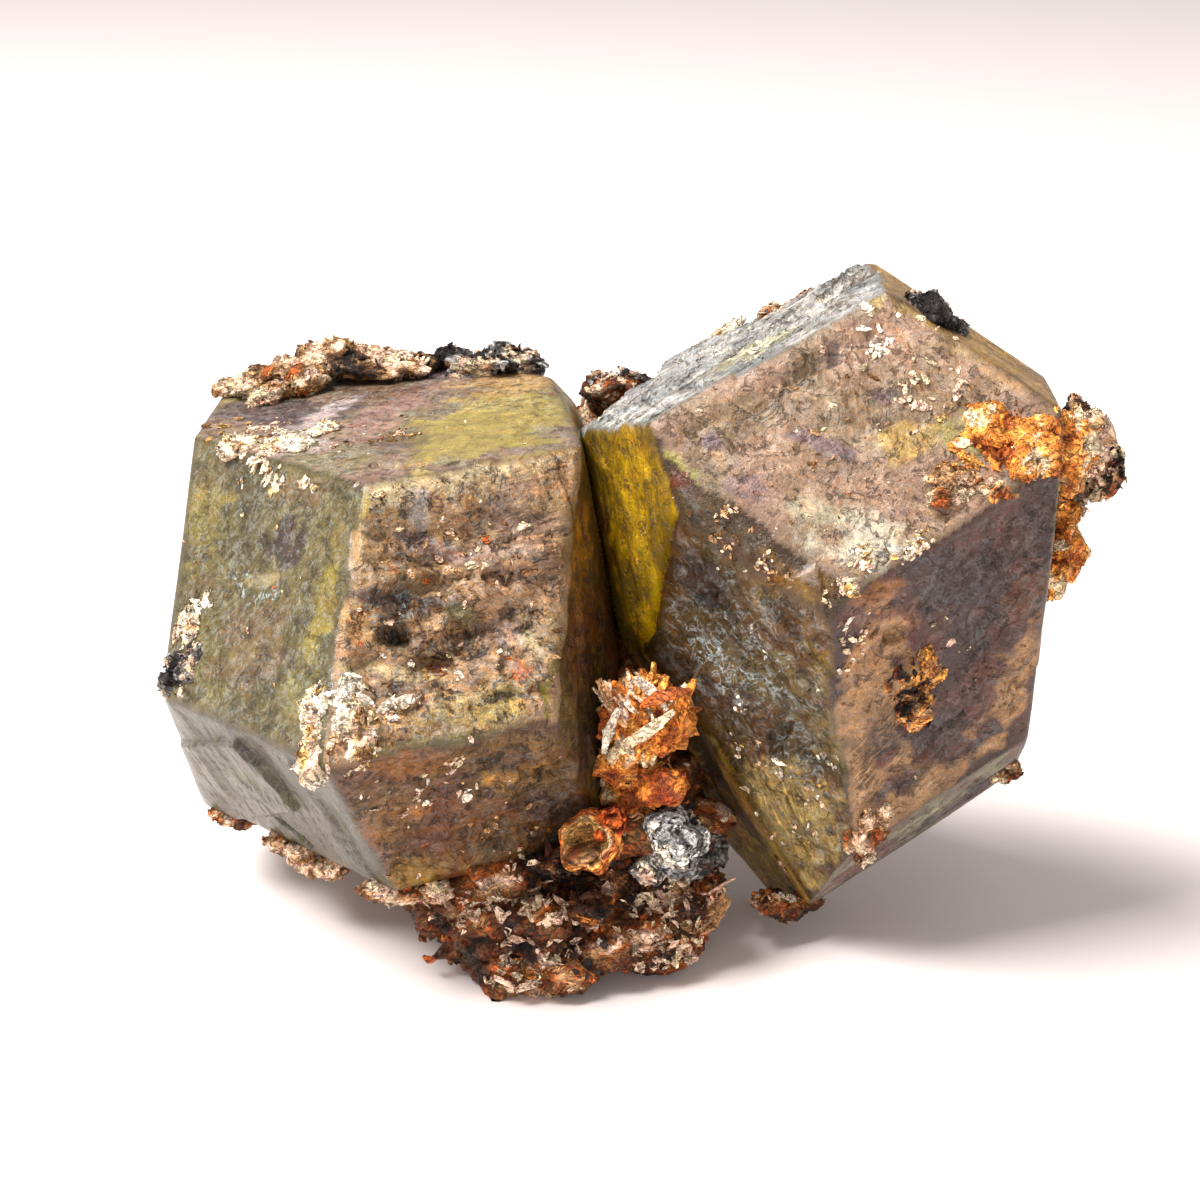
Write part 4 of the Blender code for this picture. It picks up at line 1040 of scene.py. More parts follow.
# Mixes of leaf colours from dark to pale, each colour with its share.
MIXES = {
    "rusty": ((DARK_RUST, 4), (BROWN, 3), (RUST, 4), (ORANGE, 2), (TAN, 4), (PINK, 2),
              (WHITE, 2)),
    "orange": ((RUST, 2), (ORANGE, 5), (BRIGHT_ORANGE, 4), (CREAM, 3)),
    "cream": ((BROWN, 1), (OCHRE, 1), (PINK, 3), (CREAM, 4), (WHITE, 5)),
    "silver": ((BLACK, 2), (GREY, 2), (SILVER, 5), (WHITE, 5)),
    "dark": ((BLACK, 5), (GREY, 4), (SILVER, 2), (BROWN, 1), (PINK, 2), (CREAM, 2)),
    "tan": ((RUST, 1), (BROWN, 2), (TAN, 4), (PINK, 3), (CREAM, 3)),
    "flakes": ((PINK, 4), (CREAM, 3), (WARM_WHITE, 5)),
    "knob": ((RED_BROWN, 2), (RUST, 4), (ORANGE, 5)),
    "wing": ((RUST, 2), (TAN, 4), (PINK, 4), (CREAM, 3)),
    # The black leaves are partly dark mica and partly painted shade in hollows.
    "black_leaves_and_shade": ((BLACK, 5), (DARK_RUST, 1)),
    "crest": ((BLACK, 3), (BROWN, 3), (TAN, 3), (PINK, 5), (CREAM, 3)),
    "hot": ((RUST, 3), (ORANGE, 6), (BRIGHT_ORANGE, 5), (CREAM, 2)),
    "matrix": ((BLACK, 2), (DARK_RUST, 5), (BROWN, 3), (RUST, 4), (TAN, 2), (PINK, 1)),
    "speckled": ((BLACK, 2), (RUST, 2), (ORANGE, 3), (TAN, 4), (BRIGHT_ORANGE, 3)),
}


def pick_colours(mix, count, seed, along=None):
    """A colour from the mix for each of so many leaves, a little lighter or darker.

    With along, a value for each leaf, the leaves with the lowest values get the first colour
    of the mix and those with the highest the last, so that colours lie in patches.
    """
    rng = np.random.default_rng(seed)
    colours = np.array([colour for colour, _ in MIXES[mix]])
    shares = np.array([share for _, share in MIXES[mix]], dtype=float)
    if along is None:
        chosen = rng.choice(len(colours), size=count, p=shares / shares.sum())
    else:
        rank = (np.argsort(np.argsort(along)) + 0.5) / count
        chosen = np.searchsorted(np.cumsum(shares) / shares.sum(), rank)
    return colours[np.minimum(chosen, len(colours) - 1)] * rng.uniform(0.75, 1.15, count)[:, None]


# Each kind of crust: how much dust lies in it, the colour of the dust, and its slot.
KINDS = {
    "rusty": (0.65, BROWN, "rusty_mica"), "orange": (0.3, RUST, "orange_mica"),
    "cream": (0.35, TAN, "cream_mica"), "silver": (0.2, GREY, "silver_mica"),
    "crest": (0.4, BROWN, "cream_mica"), "knob": (0.3, RUST, "rusty_mica"),
    "dark": (0.45, BLACK, "dark_mica"), "tan": (0.4, BROWN, "tan_mica"),
    "speckled": (0.8, BLACK, "orange_mica"),
}
# A material for each kind of crust. Slots of the crusts whose leaves are of another
# kind than the record gives them.
MICA = {kind: mica_material(kind + "_mica_crust", dirt, colour)
        for kind, (dirt, colour, _) in KINDS.items()}


def knobs(centre, half_sizes, look, count, seed, flatten=(1.0, 1.0, 1.0)):
    """Small lumps scattered in a flat oval, so that together they make a ragged crust.

    Each sits at centre + rightward * x + upward * y + outward * z, with x and y spread over
    the oval like seeds in a sunflower, shaken, and z a little above or below.
    """
    rng = np.random.default_rng(seed)
    turned = facing(*look)
    half_sizes = np.array(half_sizes)
    made = []
    for index in range(count):
        turn = 2.4 * index + seed
        out_by = 0.9 * math.sqrt((index + 0.3) / count) * rng.uniform(0.8, 1.15)
        shift = np.array([out_by * math.cos(turn), out_by * math.sin(turn),
                          rng.uniform(-0.35, 0.2)])
        place = np.asarray(centre) + (shift * half_sizes) @ turned
        size = rng.uniform(0.34, 0.6) * (half_sizes + half_sizes.mean()) / 2
        made.append((place, size * rng.uniform(0.75, 1.2, 3) * flatten, look))
    return made


def buried(points, bodies, skip):
    """Which points lie inside another lump of the crust or inside a crystal."""
    hidden = np.zeros(len(points), dtype=bool)
    for index, (centre, half_sizes, look) in enumerate(bodies):
        if index != skip:
            local = (points - centre) @ facing(*look).T / np.array(half_sizes)
            hidden |= np.linalg.norm(local, axis=1) < 0.85
    for heart, faces in ((LEFT_HEART, LEFT_FACES), (RIGHT_HEART, RIGHT_FACES)):
        depths = [distance - (points - heart) @ direction(bearing, rise)
                  for bearing, rise, distance in faces.values()]
        hidden |= np.min(depths, axis=0) > 0.1
    return hidden


WHOLE = np.array(first_bounds) / MM
# How far a crust may pass its part's box, and how far inside that its leaves start.
BOX_PLAY = 0.9
BOX_MARGIN = 0.35
LEAF_THICKNESS = 0.05
STACK = 3


def crust(node, bodies, mix, stacks, leaf_size, seed, flatness=0.45, core=None, roughness=0.3,
          extras=(), shaded_hollows=(), accents=()):
    """One mica crust: ledged lumps with stacks of leaves lying on them, in one mesh.

    bodies are lumps as centre, half sizes and look. Stacks are shared out over what shows of
    the lumps, and everything is kept inside the box of the part that the crust stands for.
    A hollow, a centre and a radius, pushes the surface inward and darkens it with painted
    shade. Extras are ready shapes, each its points, quads, triangles and tint. An accent strews
    more leaves near a place: centre, radius, count, size and mix.
    """
    rng = np.random.default_rng(seed)
    low, high = box_limits(node)
    low, high = low - BOX_PLAY, high + BOX_PLAY
    shapes, anchors, outs = [], [], []
    for index, (centre, half_sizes, look) in enumerate(bodies):
        room = np.minimum(0.8 * max(half_sizes), (high - low) / 2)
        centre = np.clip(centre, low + room, high - room)
        columns = int(np.clip(14 * max(half_sizes), 24, 110))
        rows = columns // 2 + 2
        grid_quads, grid_triangles = ball_faces(columns, rows)
        body = lump(centre, half_sizes, look, columns, rows, seed + index, roughness)
        patches = layered(body * 0.55, 5, seed)
        tint = pick_colours(core or mix, len(body), seed + index, patches) * 0.85
        out = outward(body, grid_quads)
        for middle, radius in shaded_hollows:
            depth = np.exp(-(np.linalg.norm(body - middle, axis=1) / radius) ** 2)
            body = body - out * (radius * depth)[:, None]
            # Painted shade in the hollow: its surface is darkened nearly to black.
            tint = stain(tint, depth, DARK, 0.9)
        shows = np.flatnonzero(~buried(body, bodies, index))
        inside = (body[shows] > low + BOX_MARGIN) & (body[shows] < high - BOX_MARGIN)
        shows = shows[inside[:, :2].all(axis=1) & (body[shows, 2] > 0.1)]
        for middle, radius in shaded_hollows:
            shows = shows[np.linalg.norm(body[shows] - middle, axis=1) > radius]
        anchors.append(body[shows])
        outs.append(out[shows])
        shapes.append((body, grid_quads, grid_triangles, tint))
    leaves_start = sum(len(shape[0]) for shape in shapes)
    anchors, outs = np.vstack(anchors), np.vstack(outs)
    chosen = rng.integers(0, len(anchors), stacks)
    sizes = leaf_size * np.clip(rng.lognormal(-0.25, 0.4, stacks), 0.3, 1.6)
    patches = layered(anchors[chosen] * 0.55, 5, seed) + 0.22 * rng.normal(size=stacks)
    tints = np.repeat(pick_colours(mix, stacks, seed + 6, patches), STACK, axis=0)
    tints = tints * rng.uniform(0.65, 1.2, stacks * STACK)[:, None]
    shapes.append(leaves(anchors[chosen] - 0.12 * outs[chosen], outs[chosen], sizes, tints, 0.3,
                         LEAF_THICKNESS, seed + 5, flatness, STACK))
    for index, (middle, radius, count, size, accent_mix) in enumerate(accents):
        near = np.flatnonzero(np.linalg.norm(anchors - middle, axis=1) < radius)
        picked = rng.choice(near, count)
        sizes = size * rng.lognormal(-0.1, 0.3, count)
        tints = np.repeat(pick_colours(accent_mix, count, seed + index), 2, axis=0)
        shapes.append(leaves(anchors[picked] + 0.05 * outs[picked], outs[picked], sizes, tints,
                             0.25, LEAF_THICKNESS, seed + 40 + index, 0.8, 2))
    points, quads, triangles, tints = joined(shapes + list(extras))
    points = np.clip(np.clip(points, low, high), *WHOLE)
    piece = surface(node + "_leaves", points, quads, triangles, MICA[mix], {"tint": tints},
                    leaves_start)
    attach(piece, "root")
    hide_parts(node)


BASE_BODIES = (
    ((-0.9, -4.6, 2.8), (7.8, 9.8, 4.5), (0, 89)), ((-4.9, -11.4, 1.9), (4.2, 3.9, 3.3), (0, 89)),
    ((1.4, -11.0, 3.6), (4.6, 3.2, 3.0), (0, 89)), ((2.3, -6.0, 9.6), (1.9, 2.6, 4.2), (0, 89)),
    ((1.0, 3.0, 8.5), (5.0, 5.0, 5.5), (0, 89)), ((1.4, -0.6, 14.0), (3.2, 4.6, 7.5), (0, 89)),
    ((-9.2, -10.8, 4.4), (2.4, 2.4, 1.9), (0, 89)),
    ((-6.6, -13.2, 4.2), (1.9, 1.4, 1.3), (-20, 30)),
    ((-3.4, -14.2, 4.6), (1.7, 1.2, 1.1), (0, 30)), ((-0.6, -13.6, 5.4), (1.6, 1.2, 1.2), (0, 40)),
    ((3.4, -12.6, 2.2), (2.0, 1.3, 1.5), (20, 0)), ((-5.4, -14.6, 2.0), (1.8, 1.2, 1.3), (-15, 0)),
    ((-2.2, -14.8, 1.6), (1.8, 1.2, 1.2), (0, -10)), ((0.6, -13.8, 2.6), (1.7, 1.1, 1.4), (5, 10)),
    ((-7.8, -11.6, 2.2), (1.5, 1.5, 1.5), (-40, 0)), ((5.2, -11.0, 4.0), (1.3, 1.1, 1.4), (40, 10)),
)
# Hollows in the base, as centre and radius, pushed in and darkened with painted shade.
BASE_SHADED_HOLLOWS = (
    ((-2.6, -12.0, 8.1), 1.5), ((-4.7, -12.0, 6.9), 1.1), ((-0.4, -13.6, 6.6), 1.2),
    ((3.2, -13.2, 6.0), 1.4), ((1.6, -13.0, 5.6), 1.0), ((-4.6, -15.2, 3.2), 0.7),
    ((0.0, -14.6, 4.0), 0.6), ((-2.0, -14.4, 6.2), 0.6),
)
# The black leaves among these, round the hollows under the books, are painted shade.
BASE_ACCENTS = (
    ((-4.6, -14.2, 6.0), 2.6, 80, 0.55, "flakes"), ((-7.4, -12.6, 5.4), 2.2, 45, 0.5, "flakes"),
    ((-1.6, -14.6, 4.4), 1.8, 45, 0.5, "flakes"), ((-4.6, -14.8, 1.6), 2.4, 80, 0.5, "flakes"),
    ((3.2, -13.4, 3.6), 2.4, 70, 0.5, "flakes"), ((4.4, -12.8, 2.6), 1.6, 30, 0.4, "black_leaves_and_shade"),
    ((-1.0, -15.0, 3.2), 1.6, 30, 0.4, "black_leaves_and_shade"), ((-9.8, -11.2, 5.0), 1.6, 25, 0.4, "flakes"),
    ((-0.6, -13.4, 7.0), 2.2, 60, 0.45, "black_leaves_and_shade"), ((2.8, -12.8, 6.4), 2.0, 50, 0.45, "black_leaves_and_shade"),
    ((-2.6, -12.8, 7.2), 1.9, 60, 0.45, "black_leaves_and_shade"), ((4.6, -12.4, 3.6), 2.6, 150, 0.4, "wing"),
    ((-5.6, -13.2, 5.6), 2.4, 50, 0.45, "flakes"),
)
crust("muscovite_base", BASE_BODIES, "rusty", 1700, 0.36, 101, flatness=0.9, core="matrix",
      accents=BASE_ACCENTS, shaded_hollows=BASE_SHADED_HOLLOWS)

# The mica books and the orange mica in front of the crevice, grown on the crust behind them. A
# book is a stack of thin leaves seen from its end: one is a rusty barrel with a pale rim, the
# other a silvery rosette. A fan of orange and cream blades stands above them.


def book_skin(centre, look, radius, length, seed, end_colour, rim_colour, side_colours,
              shards=0, cup=0.0):
    """A closed stack of leaves: points, quads, triangles and tint.

    The shape is a superellipsoid, ring = cos^0.35 and level = sin^0.35 of the latitude, with a
    six-sided wavy outline. The side is notched leaf by leaf and the ends are rippled in rings.
    With shards, cracks run from the middle to the rim and part it in wedges of uneven height.
    A cup is the share of the length by which the front end is hollowed, and the hollow is
    darkened with painted shade.
    """
    columns, rows, squareness = 96, 64, 0.35
    rays = ball(columns, rows)
    flat = np.hypot(rays[:, 0], rays[:, 1])
    angle = np.arctan2(rays[:, 1], rays[:, 0])
    ring = flat ** squareness
    level = np.sign(rays[:, 2]) * np.abs(rays[:, 2]) ** squareness
    wave = noise(np.column_stack([np.cos(angle), np.sin(angle), level * 0]) * 1.7 + seed, seed)
    outline = 1.0 + 0.06 * np.cos(5 * angle + seed) + 0.2 * wave
    depth = level * length / 2
    notch = 0.05 * np.abs((depth * 4.5 + 0.3 * wave) % 1.0 - 0.5) * smooth(ring, 0.8, 1.0)
    bulge = 1.0 - 0.16 * level ** 4
    if shards:
        off = np.arctan2(rays[:, 1] + 0.34, rays[:, 0] - 0.26)
        turn = (off / (2 * np.pi) * shards + 1.5 * layered(rays * 2.4, 5, seed)) % shards
        split = np.minimum(turn % 1.0, 1.0 - turn % 1.0)
        rng = np.random.default_rng(seed)
        level = level * (1.0 + rng.uniform(-0.34, 0.16, shards)[turn.astype(int) % shards]
                         - 0.3 * smooth(split, 0.12, 0.0) * smooth(ring, 0.2, 0.5))
    ripple = 0.09 * np.abs((ring * 4.0 + 0.5 * wave) % 1.0 - 0.5) * smooth(np.abs(level), 0.8, 1)
    hollow = cup * smooth(ring + 0.05 * wave, 0.88, 0.45) * (level > 0)
    depth = level * length / 2 - hollow * length
    spread = radius * ring * outline * bulge * (1.0 - notch * 2)
    local = np.column_stack([spread * np.cos(angle), spread * np.sin(angle),
                             depth - np.sign(level) * ripple * length])
    local += 0.13 * np.column_stack([layered(local * 1.6 + k * 9.0, 5, seed + k)
                                     for k in range(3)])
    points = np.asarray(centre) + local @ facing(*look)
    on_end = smooth(np.abs(level), 0.86, 0.97)
    on_rim = smooth(ring + 0.12 * layered(local * 1.2, 3, seed), 0.78, 0.92)
    bands = layered(np.column_stack([angle * 0.6, depth * 5.0, depth * 0]), 3, seed + 2)
    step = np.clip(((bands + 0.9) * len(side_colours) / 1.8).astype(int), 0,
                   len(side_colours) - 1)
    side = np.array(side_colours)[step]
    clouds = (0.75 + 0.35 * layered(local * 1.5, 4, seed + 4))[:, None]
    tint = end_colour * clouds * np.ones((len(points), 1))
    tint = stain(tint, on_rim, rim_colour, 1.0)
    # Painted shade in the cup's hollow, towards dark rust.
    tint = stain(tint, hollow / max(cup, 0.1), DARK_RUST, 0.55)
    tint = stain(side * clouds, on_end, 0, 1.0) + tint * on_end[:, None]
    if shards:
        shade = rng.uniform(0.6, 1.3, shards)[turn.astype(int) % shards]
        tint = stain(tint * shade[:, None], smooth(split, 0.1, 0.03), BLACK, 0.9)
    return (points, *ball_faces(columns, rows), np.clip(tint, 0, 1))


def blade(start, end, width, bend, colour, seed, stations=12):
    """A thin curved leaf: points, quads, triangles and tint.

    The middle line bows sideways by bend * s * (1 - s) * 4 on its way from start to end, and
    the width is that of a willow leaf. Four corners at each station make a closed flat strip.
    """
    start, end = np.asarray(start, dtype=float), np.asarray(end, dtype=float)
    way = end - start
    rng = np.random.default_rng(seed)
    aside = np.cross(way, rng.normal(size=3))
    aside /= np.linalg.norm(aside)
    normal = np.cross(way / np.linalg.norm(way), aside)
    s = np.linspace(0.0, 1.0, stations)[:, None]
    line = start + way * s + normal * bend * s * (1 - s) * 4
    wide = width / 2 * (0.25 + np.sin(np.pi * np.clip(0.12 + 0.8 * s, 0, 1)))
    wide = wide * (1 + 0.18 * rng.normal(size=(stations, 1)))
    thick = 0.07 + 0.05 * (1 - s)
    corners = np.stack([line + aside * wide + normal * thick, line - aside * wide + normal * thick,
                        line - aside * wide - normal * thick,
                        line + aside * wide - normal * thick], axis=1)
    at = (np.arange(stations - 1) * 4)[:, None]
    ring = np.arange(4)
    after = (ring + 1) % 4
    quads = np.stack([at + ring, at + after, at + 4 + after, at + 4 + ring], axis=-1)
    last = 4 * (stations - 1)
    ends = np.array([[3, 2, 1, 0], [last, last + 1, last + 2, last + 3]])
    shade = rng.uniform(0.7, 1.1, (stations, 1)) * np.ones((1, 4))
    tint = np.asarray(colour) * shade.reshape(-1, 1)
    return (corners.reshape(-1, 3), np.vstack([quads.reshape(-1, 4), ends]),
            np.zeros((0, 3), dtype=int), tint)


def shingles(centre, half_sizes, look, root, count, length, width, mix, seed, lift):
    """Blades laid over a dome like the ribs of a fan, each pointing away from the root.

    Places are spread over the oval, at height = half_sizes[2] * sqrt(1 - 0.9 r^2) on the dome.
    """
    rng = np.random.default_rng(seed)
    turned = facing(*look)
    far = np.sqrt(rng.uniform(0.0, 1.0, count))
    turn = rng.uniform(0.0, 2 * np.pi, count)
    flat = np.column_stack([far * np.cos(turn), far * np.sin(turn), np.sqrt(1.0 - 0.9 * far ** 2)])
    places = np.asarray(centre) + (flat * half_sizes) @ turned
    ways = (places - root) @ turned.T
    ways[:, 2] = 0.0
    ways += 0.75 * rng.normal(size=(count, 3)) * [1.0, 1.0, 0.6]
    ways = ways / np.linalg.norm(ways, axis=1)[:, None] + [0.0, 0.0, lift]
    ways *= rng.uniform(0.45, 1.1, count)[:, None]
    colours = pick_colours(mix, count, seed, layered(places * 0.9, 4, seed))
    return [blade(place - way * length * 0.5, place + way * length * rng.uniform(0.3, 0.6),
                  width * rng.uniform(0.6, 1.3), 0.25 * rng.normal(), colour, seed + index)
            for index, (place, way, colour) in enumerate(zip(places, ways @ turned, colours))]


HOT = tone(232, 112, 48)
barrel = book_skin((-0.6, -13.8, 9.4), (-12, 26), 1.7, 2.9, 5, OCHRE, CREAM,
                   (HOT, ORANGE, RUST, BRIGHT_ORANGE), cup=0.36)
hot_leaves = book_skin((0.5, -13.7, 10.6), (20, 40), 1.0, 1.5, 12, HOT, HOT, (HOT, RED_BROWN),
                       shards=5)
crust("barrel_book", (((-0.1, -12.9, 9.0), (1.4, 1.4, 0.8), (-8, 8)),), "orange", 50, 0.4, 111,
      extras=[barrel, hot_leaves],
      accents=(((-1.6, -13.6, 8.0), 1.4, 25, 0.4, "flakes"),))
rosette = [
    book_skin((4.2, -12.8, 9.0), (8, 24), 2.05, 2.6, 6, WHITE, SILVER, (GREY, SILVER, WHITE),
              shards=11),
    book_skin((6.0, -11.9, 8.0), (60, 0), 1.3, 2.4, 10, GREY, BLACK, (BLACK, GREY, DARK_RUST),
              shards=6),
    book_skin((3.0, -13.2, 7.6), (-30, -15), 1.0, 1.8, 9, PINK, WHITE, (SILVER, WHITE, GREY),
              shards=5),
]
crust("silver_book", (((4.5, -11.8, 8.4), (1.8, 1.9, 1.6), (18, 16)),), "silver", 110, 0.5, 112,
      extras=rosette, flatness=0.8)
fan = [
    blade((1.2, -12.8, 15.0), (4.2, -13.2, 17.4), 0.55, 0.3, CREAM, 1),
    blade((1.9, -12.2, 19.0), (3.8, -12.9, 17.3), 0.5, 0.3, WHITE, 2),
    blade((1.1, -12.8, 17.4), (0.2, -13.1, 14.7), 0.45, 0.2, WHITE, 3),
    blade((-0.1, -12.1, 18.9), (1.5, -12.8, 16.2), 0.5, 0.3, TAN, 4),
    blade((0.6, -11.8, 18.6), (2.4, -12.7, 16.4), 0.55, 0.4, ORANGE, 5),
    blade((4.3, -12.4, 15.0), (5.4, -11.9, 18.8), 0.6, 0.4, ORANGE, 6),
    blade((2.3, -12.5, 17.4), (5.2, -12.3, 18.3), 0.6, 0.5, RUST, 7),
    blade((0.0, -12.3, 15.3), (0.8, -12.3, 18.2), 0.9, 0.3, RUST, 8),
]
fan += shingles((2.6, -11.1, 16.1), (2.3, 2.2, 1.2), (-5, 25), (2.6, -12.0, 13.2), 190, 1.7,
                0.42, "hot", 21, 0.0)
fan += shingles((1.5, -11.4, 17.2), (1.3, 1.0, 1.2), (-15, 35), (3.0, -12.0, 14.0), 12, 2.2,
                0.24, "flakes", 51, 0.25)
crust("orange_fan", (((2.3, -10.6, 15.9), (2.6, 1.9, 1.5), (-10, 20)),
                     ((3.9, -11.2, 15.9), (1.3, 1.5, 1.2), (20, 10))), "orange", 200, 0.26, 113,
      extras=fan, roughness=0.4)
crust("orange_body", (((1.3, -11.2, 13.3), (1.4, 1.2, 1.5), (-10, 10)),
                      ((1.5, -11.2, 11.7), (1.3, 1.2, 1.2), (-10, 10)),
                      ((2.7, -11.0, 12.6), (1.3, 1.0, 1.3), (0, 10)),
                      ((0.7, -10.8, 12.6), (0.9, 1.0, 0.9), (-30, 10))), "orange", 150, 0.34, 114,
      flatness=0.5, roughness=0.35, accents=(((2.8, -12.0, 13.6), 1.4, 20, 0.34, "black_leaves_and_shade"),))
crust("orange_knob", (((3.9, -12.9, 12.6), (1.25, 1.1, 1.1), (10, 10)),
                      ((3.0, -12.4, 12.0), (0.9, 0.8, 0.9), (-20, 10))), "knob", 25, 0.3, 115,
      flatness=0.2, roughness=0.14)
crust("yellow_knob", (((2.0, -11.6, 10.3), (1.0, 1.0, 0.8), (0, 0)),), "orange", 60, 0.3, 116)
wing = [
    blade((3.2, -11.9, 1.7), (8.0, -10.4, 5.6), 1.5, -0.4, PINK, 31, 16),
    blade((4.4, -11.8, 1.9), (7.6, -10.6, 4.4), 1.2, -0.3, TAN, 32, 16),
]
crust("wing_flake", knobs((6.2, -9.9, 3.9), (1.6, 1.9, 1.2), (30, -10), 5, 117), "tan", 110,
      0.4, 117, extras=wing, core="matrix")
crust("tip_rust", knobs((11.0, -7.6, 2.5), (2.0, 1.6, 1.1), (0, -80), 6, 118), "rusty", 120,
      0.3, 118, core="matrix")

# The crusts on the crystals' edges, corners and faces: ragged patches of white, tan, orange or
# black muscovite leaves and crumbs, each grown fast to the crystal under it.

# Place, half sizes, look, mix and number of stacks.
CRUSTS = {
    "corner_patch": ((-14.3, -19.6, 19.0), (2.2, 2.7, 1.2), (-20, 30), "cream", 110),
    "left_white_patch": ((-23.6, -6.4, 21.4), (1.5, 2.2, 1.0), (-53, 28), "cream", 80),
    "left_dark_patch": ((-24.3, -8.6, 17.8), (1.5, 1.9, 1.1), (-53, 28), "dark", 80),
    "top_patch": ((-21.2, -0.8, 29.6), (1.9, 1.7, 0.7), (-112, 85), "cream", 60),
    "tan_crest": ((-20.8, 12.4, 30.2), (3.5, 3.2, 1.6), (-112, 82), "tan", 200),
    "pale_crest": ((-14.2, 14.3, 30.5), (4.2, 2.8, 1.35), (180, 80), "crest", 230),
    "dark_crest": ((-7.4, 13.4, 31.1), (3.0, 2.6, 1.7), (150, 75), "dark", 210),
    "back_wedge": ((1.7, 7.4, 30.8), (2.1, 2.6, 2.1), (170, 60), "dark", 160),
    "low_ridge_crumb": ((7.2, 2.6, 35.1), (2.3, 1.5, 1.2), (-101, 61), "cream", 70),
    "high_ridge_crumb": ((11.2, 0.6, 37.5), (1.9, 1.4, 1.1), (-101, 61), "tan", 60),
    "dark_bump": ((19.4, -6.4, 38.5), (2.0, 2.0, 1.7), (93, 59), "dark", 110),
    "corner_orange": ((22.6, -12.6, 33.6), (2.3, 2.1, 1.1), (-3, 39), "orange", 120),
    "corner_rim": ((25.4, -9.8, 32.2), (1.3, 2.0, 1.9), (60, 40), "orange", 90),
    "ridge_patch": ((20.0, -14.7, 31.1), (2.2, 1.1, 1.0), (10, 20), "tan", 70),
    "grey_lobe": ((28.0, -7.2, 30.9), (2.4, 2.7, 2.1), (90, 10), "crest", 170),
    "rusty_lobe": ((26.2, -8.2, 25.7), (2.0, 2.5, 1.6), (90, 0), "orange", 130),
    "speckled_patch": ((17.6, -14.2, 19.4), (1.7, 2.4, 0.9), (27, -14), "speckled", 90),
    "low_patch": ((11.3, -8.7, 6.4), (1.1, 1.9, 0.7), (-39, -20), "tan", 50),
    "edge_patch": ((15.7, -12.1, 9.3), (1.5, 2.4, 0.7), (27, -14), "tan", 60),
    "corner_bit": ((24.6, -5.3, 9.9), (0.9, 1.0, 1.1), (60, -50), "tan", 40),
    "low_crust_left": ((-23.2, -0.2, 4.7), (1.4, 1.8, 1.3), (-48, -50), "rusty", 60),
    "low_crust_middle": ((-17.8, -6.2, 4.6), (2.8, 1.6, 1.2), (-40, -60), "tan", 90),
    "low_crust_right": ((-11.2, -13.3, 5.8), (3.0, 1.4, 1.1), (0, -60), "tan", 90),
    "rear_crust": ((-6.0, 14.5, 16.0), (4.2, 5.0, 2.6), (170, 0), "cream", 90),
    "rear_seam": ((0.8, 9.6, 20.5), (3.4, 8.0, 3.2), (180, 0), "tan", 90),
    "rear_flakes": ((19.0, 3.6, 26.5), (3.0, 3.4, 1.6), (150, 10), "silver", 60),
}
# More lumps for the crusts that are not one rounded patch, as centre, half sizes and look.
MORE_LUMPS = {
    "top_patch": (((-18.3, -2.9, 29.9), (1.1, 1.5, 0.6), (-112, 85)),
                  ((-16.6, 0.6, 29.9), (1.3, 0.8, 0.45), (-112, 85))),
    "corner_orange": (((24.4, -13.6, 33.0), (0.95, 0.95, 0.9), (20, 30)),
                      ((24.4, -13.6, 32.2), (0.95, 0.9, 0.9), (20, 20)),
                      ((24.4, -12.8, 33.8), (0.95, 0.9, 0.8), (20, 40)),
                      ((24.2, -12.0, 33.0), (1.3, 1.2, 1.1), (10, 40)),
                      ((23.6, -11.8, 33.5), (1.7, 1.5, 1.0), (10, 40)),
                      ((21.4, -12.6, 34.2), (1.5, 1.2, 0.8), (0, 40)),
                      ((24.3, -12.6, 32.4), (1.2, 1.1, 0.9), (20, 30))),
    "corner_rim": (((25.2, -11.9, 32.6), (1.5, 1.5, 1.2), (20, 30)),
                   ((25.8, -10.6, 32.6), (1.5, 1.5, 1.3), (50, 30)),
                   ((26.2, -9.4, 31.4), (1.6, 1.8, 1.3), (70, 10)),
                   ((25.6, -11.4, 31.0), (1.1, 1.5, 1.0), (50, 0))),
    "grey_lobe": (((27.4, -8.2, 31.6), (1.9, 1.9, 1.7), (90, 10)),
                  ((28.6, -7.4, 29.9), (1.4, 1.4, 1.2), (90, 0))),
    "rusty_lobe": (((26.2, -8.8, 27.6), (1.2, 1.4, 1.2), (80, 10)),
                   ((26.8, -8.2, 25.2), (1.4, 1.6, 1.2), (80, -10))),
    "dark_bump": (((18.6, -7.0, 39.0), (1.6, 1.1, 0.9), (93, 59)),),
}
# Pits, as centre and radius, pushed in and darkened with painted shade, and mixes for the
# ground under the leaves.
PITS = {
    "speckled_patch": (((17.0, -14.8, 20.6), 0.45), ((18.0, -14.3, 19.4), 0.4),
                       ((16.9, -14.7, 18.6), 0.42), ((17.7, -14.2, 17.9), 0.38)),
    "rusty_lobe": (((25.4, -10.2, 28.2), 0.9),),
    "grey_lobe": (((27.4, -9.6, 29.2), 0.7),),
}
GROUNDS = {"back_wedge": "matrix", "grey_lobe": "tan", "dark_crest": "dark"}
